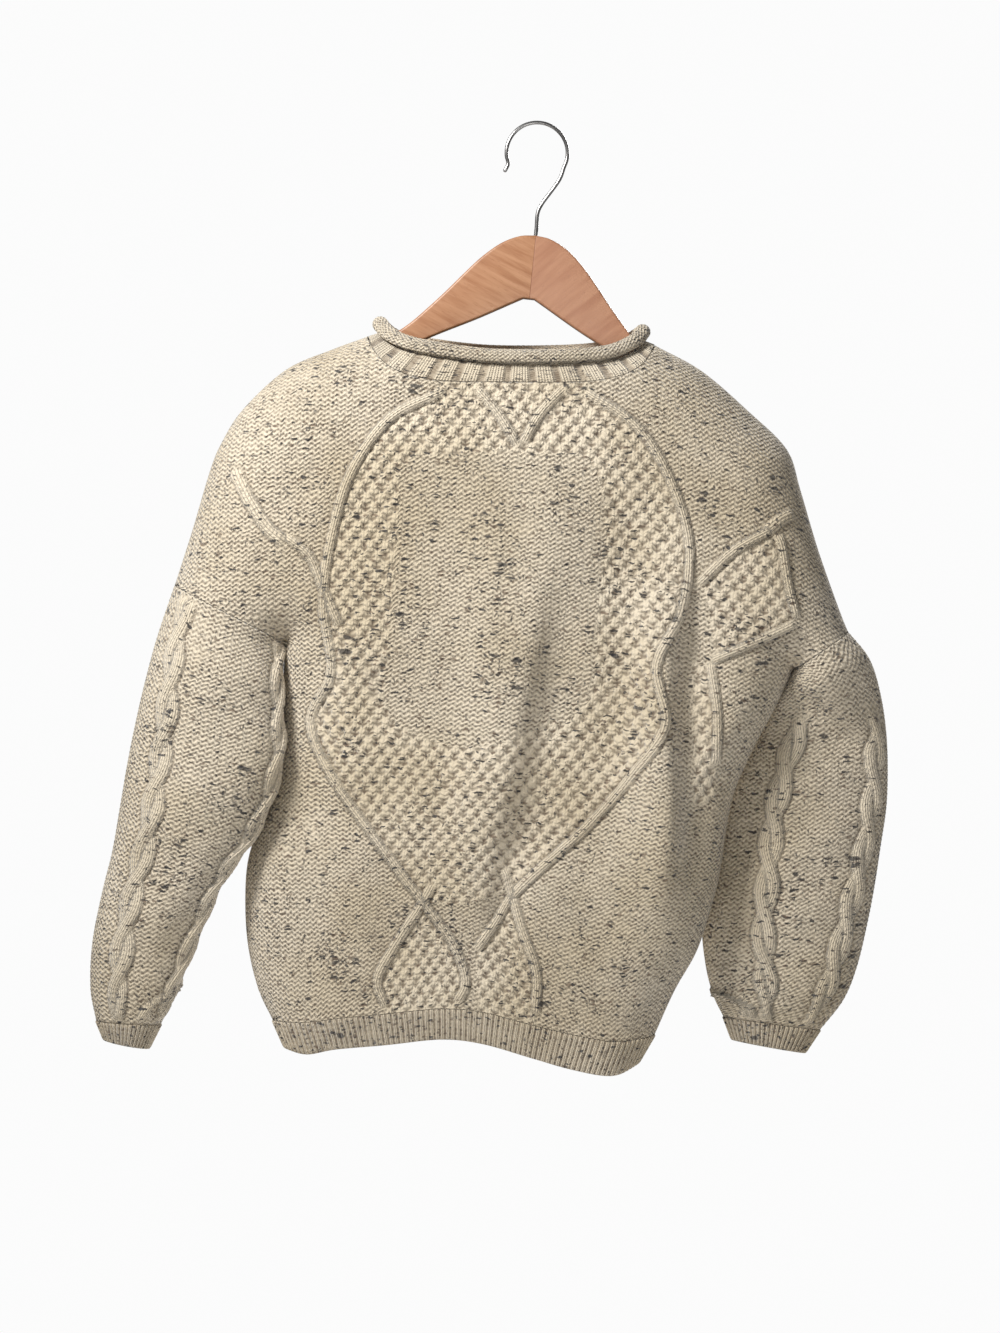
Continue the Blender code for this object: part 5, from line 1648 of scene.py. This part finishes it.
@dataclass(frozen=True)
class WoolFinish:
    """Flecked oatmeal wool: yarn colours, a painted shade colour for the gaps between stitches and how
    strongly it darkens them, and how hairy it is.
    """

    name: str
    light: tuple[float, float, float, float] = linear(228, 214, 190)
    dull: tuple[float, float, float, float] = linear(206, 190, 161)
    # Painted shade: the colour that the gaps between stitches and the grooves beside cords are darkened
    # towards.
    gap: tuple[float, float, float, float] = linear(88, 69, 50)
    smudge: tuple[float, float, float, float] = linear(112, 102, 94)
    dark: tuple[float, float, float, float] = linear(38, 35, 36)
    brown: tuple[float, float, float, float] = linear(104, 84, 66)
    depth: float = 0.0016
    gap_shade_strength: float = 0.78
    ribbed: bool = False

    def build(self) -> bpy.types.Material:
        """Make the material."""
        shader = Shader(self.name)
        cord = shader.node("ShaderNodeUVMap", {"uv_map": "cord"}).outputs[0]
        groove = shader.value(shader.node("ShaderNodeAttribute", {"attribute_name": "groove"}).outputs["Fac"])
        moss = shader.value(shader.node("ShaderNodeAttribute", {"attribute_name": "moss"}).outputs["Fac"])
        knit = shader.value(shader.node("ShaderNodeAttribute", {"attribute_name": "knit"}).outputs["Fac"])
        place = shader.node("ShaderNodeTexCoord").outputs["Object"]
        sway = shader.node("ShaderNodeTexNoise", {}, {"Vector": place, "Scale": 75.0, "Detail": 3.0})
        stitch = shader.node("ShaderNodeUVMap", {"uv_map": "stitch"}).outputs[0]
        moved = shader.scaled(sway.outputs["Color"], (1.2, 1.3, 0.0), (-0.6, -0.65, 0.0))
        stitch = shader.node("ShaderNodeVectorMath", {"operation": "ADD"}, {0: stitch, 1: moved}).outputs[0]
        height = self.stitches(shader, stitch, cord, moss, knit)
        patches = shader.noise(place, 9.0, 3.0)
        worn = shader.noise(place, 260.0, 3.0, 0.7)
        yarn = shader.blend(patches.step(0.32, 0.7), self.light, self.dull)
        yarn = shader.blend((worn - 0.5) * 1.2 + 0.1, yarn, self.dull)
        smudge = shader.noise(place, 38.0, 4.0, 0.65).step(0.60, 0.78) * worn.step(0.35, 0.6)
        yarn = shader.blend(smudge * 0.55, yarn, self.smudge)
        uneven = shader.noise(place, 120.0, 2.0).step(0.3, 0.7) * 0.5 + 0.6
        # Painted shade: the gaps between stitches and the grooves beside cords and ropes are darkened towards
        # the gap colour, unevenly at random.
        gap = (1 - height).step(0.3, 1.0) * self.gap_shade_strength * uneven
        gap = gap.math("MAXIMUM", groove.step(0.2, 0.95) * uneven * 0.66)
        colour = shader.blend(gap, yarn, self.gap)
        colour = self.flecks(shader, stitch, place, colour)
        shader.feed(shader.surface.inputs["Base Color"], colour)
        shader.feed(shader.surface.inputs["Roughness"], worn * 0.2 + 0.78)
        fuzz = shader.noise(place, 900.0, 2.0)
        bump = shader.node("ShaderNodeBump", {}, {
            "Strength": 1.0, "Distance": self.depth, "Height": height + fuzz * 0.25})
        shader.feed(shader.surface.inputs["Normal"], bump.outputs[0])
        shader.surface.inputs["Sheen Weight"].default_value = 0.35
        shader.surface.inputs["Sheen Roughness"].default_value = 0.6
        shader.surface.inputs["Specular IOR Level"].default_value = 0.18
        return shader.material

    def stitches(self, shader: Shader, stitch: Any, cord: Any, moss: Value, knit: Value) -> Value:
        """The height of the knitting's own stitches, from 0 in the gaps to 1 on the yarn.

        Args:
            shader: The material's nodes.
            stitch: Stitches across and rows up.
            cord: Columns across and rows along knit columns.
            moss: Where moss stitch is.
            knit: Where knit columns are.

        Returns:
            The height.
        """
        turn = 2 * math.pi
        across, up, _ = shader.separate(stitch)
        wave = (across * turn).cos()
        purl = ((up - wave * 0.24) * turn).cos() * (wave.abs() * 0.8 + 0.2) * 0.5 + 0.5
        bead = (across * math.pi).cos() * (up * (math.pi / 2)).cos()
        swell = bead.abs()**0.6 * bead.math("SIGN")
        off = ((across + 0.5).math("FRACT") - 0.5).abs()
        legs = (off * turn).math("SINE").abs()**0.5 * 0.3
        lines = ((up - off * 0.9) * turn).cos() * 0.2
        beads = swell * 0.44 + 0.32 + legs + lines
        # In ribbing the purl gutters between the knit columns sit low, so the painted gap shade darkens them
        # almost fully.
        if self.ribbed:
            purl = purl * 0.2 + 0.06
        column, along, _ = shader.separate(cord)
        side = (column.math("FRACT") - 0.5).abs()
        legs = (side * turn).math("SINE").abs()**0.5
        vee = legs * (((along - side * 1.1) * turn).cos() * 0.2 + 0.8)
        ground = shader.lerp(moss, purl, beads)
        return shader.lerp(knit, ground, vee * 0.82 + 0.16)

    def flecks(self, shader: Shader, stitch: Any, place: Any, colour: Any) -> Any:
        """Spin dark and brown flecks into the yarn.

        Args:
            shader: The material's nodes.
            stitch: Stitches across and rows up, which the flecks follow.
            place: The piece's own coordinates.
            colour: The colour so far.

        Returns:
            The colour with its flecks.
        """
        cluster = shader.noise(place, 17.0, 3.0, 0.6).step(0.48, 0.68)
        rough = shader.noise(place, 640.0, 3.0, 0.7)
        skew = shader.node("ShaderNodeTexNoise", {}, {"Vector": place, "Scale": 130.0, "Detail": 3.0})
        drift = shader.scaled(skew.outputs["Color"], (1.1, 1.1, 0.0), (-0.55, -0.55, 0.0))
        wander = shader.node("ShaderNodeVectorMath", {"operation": "ADD"}, {0: stitch, 1: drift}).outputs[0]
        for size, shift, reach, share, tint, strength in (
            ((0.55, 1.10, 1.0), (3.7, 1.3, 0), 0.30, 0.77, self.dark, 0.92),
            ((1.00, 1.40, 1.0), (9.1, 5.2, 0), 0.28, 0.80, self.dark, 0.85),
            ((0.75, 1.20, 1.0), (1.9, 7.7, 0), 0.32, 0.80, self.brown, 0.75),
            ((1.90, 0.80, 1.0), (4.4, 8.1, 0), 0.28, 0.84, self.dark, 0.80),
            ((0.30, 0.60, 1.0), (6.3, 2.9, 0), 0.34, 0.93, self.dark, 0.85),
        ):
            cells = shader.node("ShaderNodeTexVoronoi", {"voronoi_dimensions": "2D", "feature": "F1"}, {
                "Vector": shader.scaled(wander, size, shift), "Scale": 1.0, "Randomness": 1.0})
            luck, second, _ = shader.separate(cells.outputs["Color"])
            chosen = (luck + cluster * 0.22).step(share + 0.10, share + 0.13)
            edge = shader.value(cells.outputs["Distance"]) + (rough - 0.5) * 0.42
            mark = 1 - (edge - second * 0.14).step(reach * 0.3, reach * 0.75)
            colour = shader.blend(mark * chosen * strength, colour, tint)
        return colour


@dataclass(frozen=True)
class BeechFinish:
    """Satin beech in two mitred halves, each with its grain along its own arm, and a painted pinkish sheen on
    the right half.
    """

    name: str = "satin_beech"
    light: tuple[float, float, float, float] = linear(186, 138, 102)
    deep: tuple[float, float, float, float] = linear(156, 104, 68)
    pore: tuple[float, float, float, float] = linear(124, 74, 44)
    joint: tuple[float, float] = (-0.9, -6.3)
    slope: float = 34.0

    def build(self) -> bpy.types.Material:
        """Make the material."""
        shader = Shader(self.name)
        place = shader.node("ShaderNodeTexCoord").outputs["Object"]
        x, _, z = shader.separate(place)
        line = (z * 1000 + 100.8) * ((self.joint[0] - self.joint[1]) / 51.3) + self.joint[0]
        across = x * 1000 - line
        right = across.step(-0.02, 0.02)
        halves = []
        for sign, shift in ((1, (0.0, 0.0, 0.0)), (-1, (0.3, 0.2, 0.1))):
            turned = shader.node("ShaderNodeMapping", {}, {
                "Vector": place, "Location": shift, "Rotation": (0, math.radians(-self.slope * sign + 6), 0)})
            halves.append(turned.outputs[0])
        node = shader.node("ShaderNodeMix", {"data_type": "VECTOR"}, {
            "Factor_Float": right, "A_Vector": halves[0], "B_Vector": halves[1]})
        grain_place = next(item for item in node.outputs if item.identifier == "Result_Vector")
        bands = shader.noise(shader.scaled(grain_place, (6, 60, 60)), 2.4, 4.0, 0.6)
        fine = shader.noise(shader.scaled(grain_place, (40, 900, 900)), 1.0, 3.0, 0.6)
        flecks = shader.noise(shader.scaled(grain_place, (160, 1500, 1500)), 1.0, 1.0).step(0.66, 0.74)
        colour = shader.blend(bands.step(0.3, 0.72), self.light, self.deep)
        colour = shader.blend((fine - 0.45) * 0.6, colour, self.deep)
        colour = shader.blend(flecks * 0.35, colour, self.pore)
        # Painted sheen: the right half is tinted pinkish as if light glanced off it.
        colour = shader.blend(right * 0.4, colour, linear(184, 135, 112))
        seam = 1 - across.abs().step(0.1, 0.45)
        colour = shader.blend(seam * 0.75, colour, self.pore)
        shader.feed(shader.surface.inputs["Base Color"], colour)
        shader.feed(shader.surface.inputs["Roughness"], fine * 0.16 + 0.34)
        bump = shader.node("ShaderNodeBump", {}, {"Strength": 0.35, "Distance": 0.0003,
                                                  "Height": fine * 0.5 - flecks * 0.4 - seam})
        shader.feed(shader.surface.inputs["Normal"], bump.outputs[0])
        shader.surface.inputs["Coat Weight"].default_value = 0.25
        shader.surface.inputs["Coat Roughness"].default_value = 0.3
        return shader.material


@dataclass(frozen=True)
class WireFinish:
    """Bright steel wire with faint drawing marks."""

    name: str = "bright_wire"
    steel: tuple[float, float, float, float] = linear(176, 174, 172)
    dull: tuple[float, float, float, float] = linear(132, 130, 128)

    def build(self) -> bpy.types.Material:
        """Make the material."""
        shader = Shader(self.name)
        place = shader.node("ShaderNodeTexCoord").outputs["Object"]
        stains = shader.noise(place, 90.0, 4.0)
        marks = shader.noise(place, 700.0, 2.0)
        colour = shader.blend(stains.step(0.4, 0.75), self.steel, self.dull)
        shader.feed(shader.surface.inputs["Base Color"], colour)
        shader.feed(shader.surface.inputs["Roughness"], stains * 0.18 + 0.16)
        bump = shader.node("ShaderNodeBump", {}, {"Strength": 0.2, "Distance": 0.0001, "Height": marks})
        shader.feed(shader.surface.inputs["Normal"], bump.outputs[0])
        shader.surface.inputs["Metallic"].default_value = 1.0
        return shader.material


@dataclass
class Studio:
    """The pale floor, the soft light and the camera at the picture's viewing angle."""

    distance: float = 4.0
    lens: float = 120.0
    centre: tuple[float, float] = (-0.0333, -0.488)
    floor_height: float = -1.36
    floor_radius: float = 1.5

    def build(self) -> None:
        """Make the whole studio."""
        self.add_floor()
        self.add_world()
        self.add_light("key", (-0.85, -0.92, 0.55), 0.4, 29)
        self.add_light("front", (0.20, -1.2, -0.5), 0.6, 2.8)
        self.add_light("fill", (1.4, -3.2, 0.3), 2.0, 2)
        self.add_light("rear", (1.2, 2.8, 0.9), 1.4, 100)
        camera = bpy.data.objects.new("camera", bpy.data.cameras.new("camera"))
        camera.data.lens = self.lens
        camera.data.sensor_width = 36
        camera.location = (self.centre[0], -self.distance, self.centre[1])
        camera.rotation_euler = (math.radians(90), 0, 0)
        bpy.context.scene.collection.objects.link(camera)
        bpy.context.scene.camera = camera
        bpy.context.scene.view_settings.view_transform = "Standard"

    def add_floor(self) -> None:
        """Make the round pale floor."""
        mesh = bpy.data.meshes.new("floor")
        work = bmesh.new()
        bmesh.ops.create_circle(work, cap_ends=True, segments=96, radius=self.floor_radius)
        work.to_mesh(mesh)
        work.free()
        mesh.transform(Matrix.Translation((self.centre[0], 0, self.floor_height)))
        floor = placed("floor", mesh)
        shader = Shader("pale_floor")
        shader.surface.inputs["Base Color"].default_value = (0.86, 0.86, 0.86, 1)
        shader.surface.inputs["Roughness"].default_value = 0.9
        mesh.materials.append(shader.material)

    def add_world(self) -> None:
        """Make the pale surroundings."""
        world = bpy.data.worlds.new("studio")
        world.use_nodes = True
        nodes, links = world.node_tree.nodes, world.node_tree.links
        background = nodes["Background"]
        background.inputs[0].default_value = (1.0, 1.0, 1.0, 1)
        seen = nodes.new("ShaderNodeLightPath")
        strength = nodes.new("ShaderNodeMapRange")
        strength.inputs["To Min"].default_value = 0.16
        strength.inputs["To Max"].default_value = 0.97
        links.new(seen.outputs["Is Camera Ray"], strength.inputs["Value"])
        links.new(strength.outputs[0], background.inputs[1])
        bpy.context.scene.world = world

    def add_light(self, name: str, place: tuple[float, float, float], size: float, power: float) -> None:
        """Add a square soft light that points at the sweater."""
        data = bpy.data.lights.new(name, "AREA")
        data.size = size
        data.energy = power
        light = bpy.data.objects.new(name, data)
        light.location = place
        light.visible_camera = False
        aim = Vector((self.centre[0], 0, self.centre[1])) - Vector(place)
        light.rotation_euler = aim.to_track_quat("-Z", "Y").to_euler()
        bpy.context.scene.collection.objects.link(light)


@dataclass(frozen=True)
class Cut:
    """The flat size that a piece was knitted to, in metres, and its flat area in square metres."""

    width: float
    length: float
    area: float | None = None


def dress(obj: bpy.types.Object, node: str, material: bpy.types.Material) -> None:
    """Give a piece its finish and set it in the place of its solid.

    Args:
        obj: The piece.
        node: The solid that it stands for.
        material: Its finish.
    """
    obj.data.materials.clear()
    obj.data.materials.append(material)
    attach(obj, "root")
    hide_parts(node)
    LOG.info("%s: %d triangles", obj.name, triangle_count(obj))


def corners(box: tuple[Vector, Vector]) -> list[list[float]]:
    """A box's two corners as plain lists."""
    return [list(box[0]), list(box[1])]


def main() -> None:
    """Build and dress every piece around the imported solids."""
    logging.basicConfig(level=logging.INFO, format="%(message)s")
    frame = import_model()
    LOG.info("solids: %d", len(frame["nodes"]))
    panels = {side: Panel(side) for side in Side}
    wool = WoolFinish("oatmeal_wool").build()
    rib_wool = WoolFinish("oatmeal_rib", gap_shade_strength=0.85, ribbed=True).build()
    dress(Hanger().build(), "hanger", BeechFinish().build())
    steel = WireFinish().build()
    dress(Hook(steel).build(), "hook", steel)
    for side, panel in panels.items():
        dress(PanelKnit(panel).build(), f"{side.value}_panel", wool)
        dress(Hem(panel).build(), f"hem_rib_{side.value}", rib_wool)
    for arm in Arm:
        sleeve = Sleeve(arm, panels)
        dress(sleeve.build(), f"sleeve_{arm.value}", wool)
        dress(Cuff(sleeve).build(), f"cuff_{arm.value}", rib_wool)
    neck = Neck(panels)
    dress(neck.build_band(), "neck_rib", rib_wool)
    dress(neck.build_roll(), "neck_roll", wool)
    Studio().build()


if __name__ == "__main__":
    main()
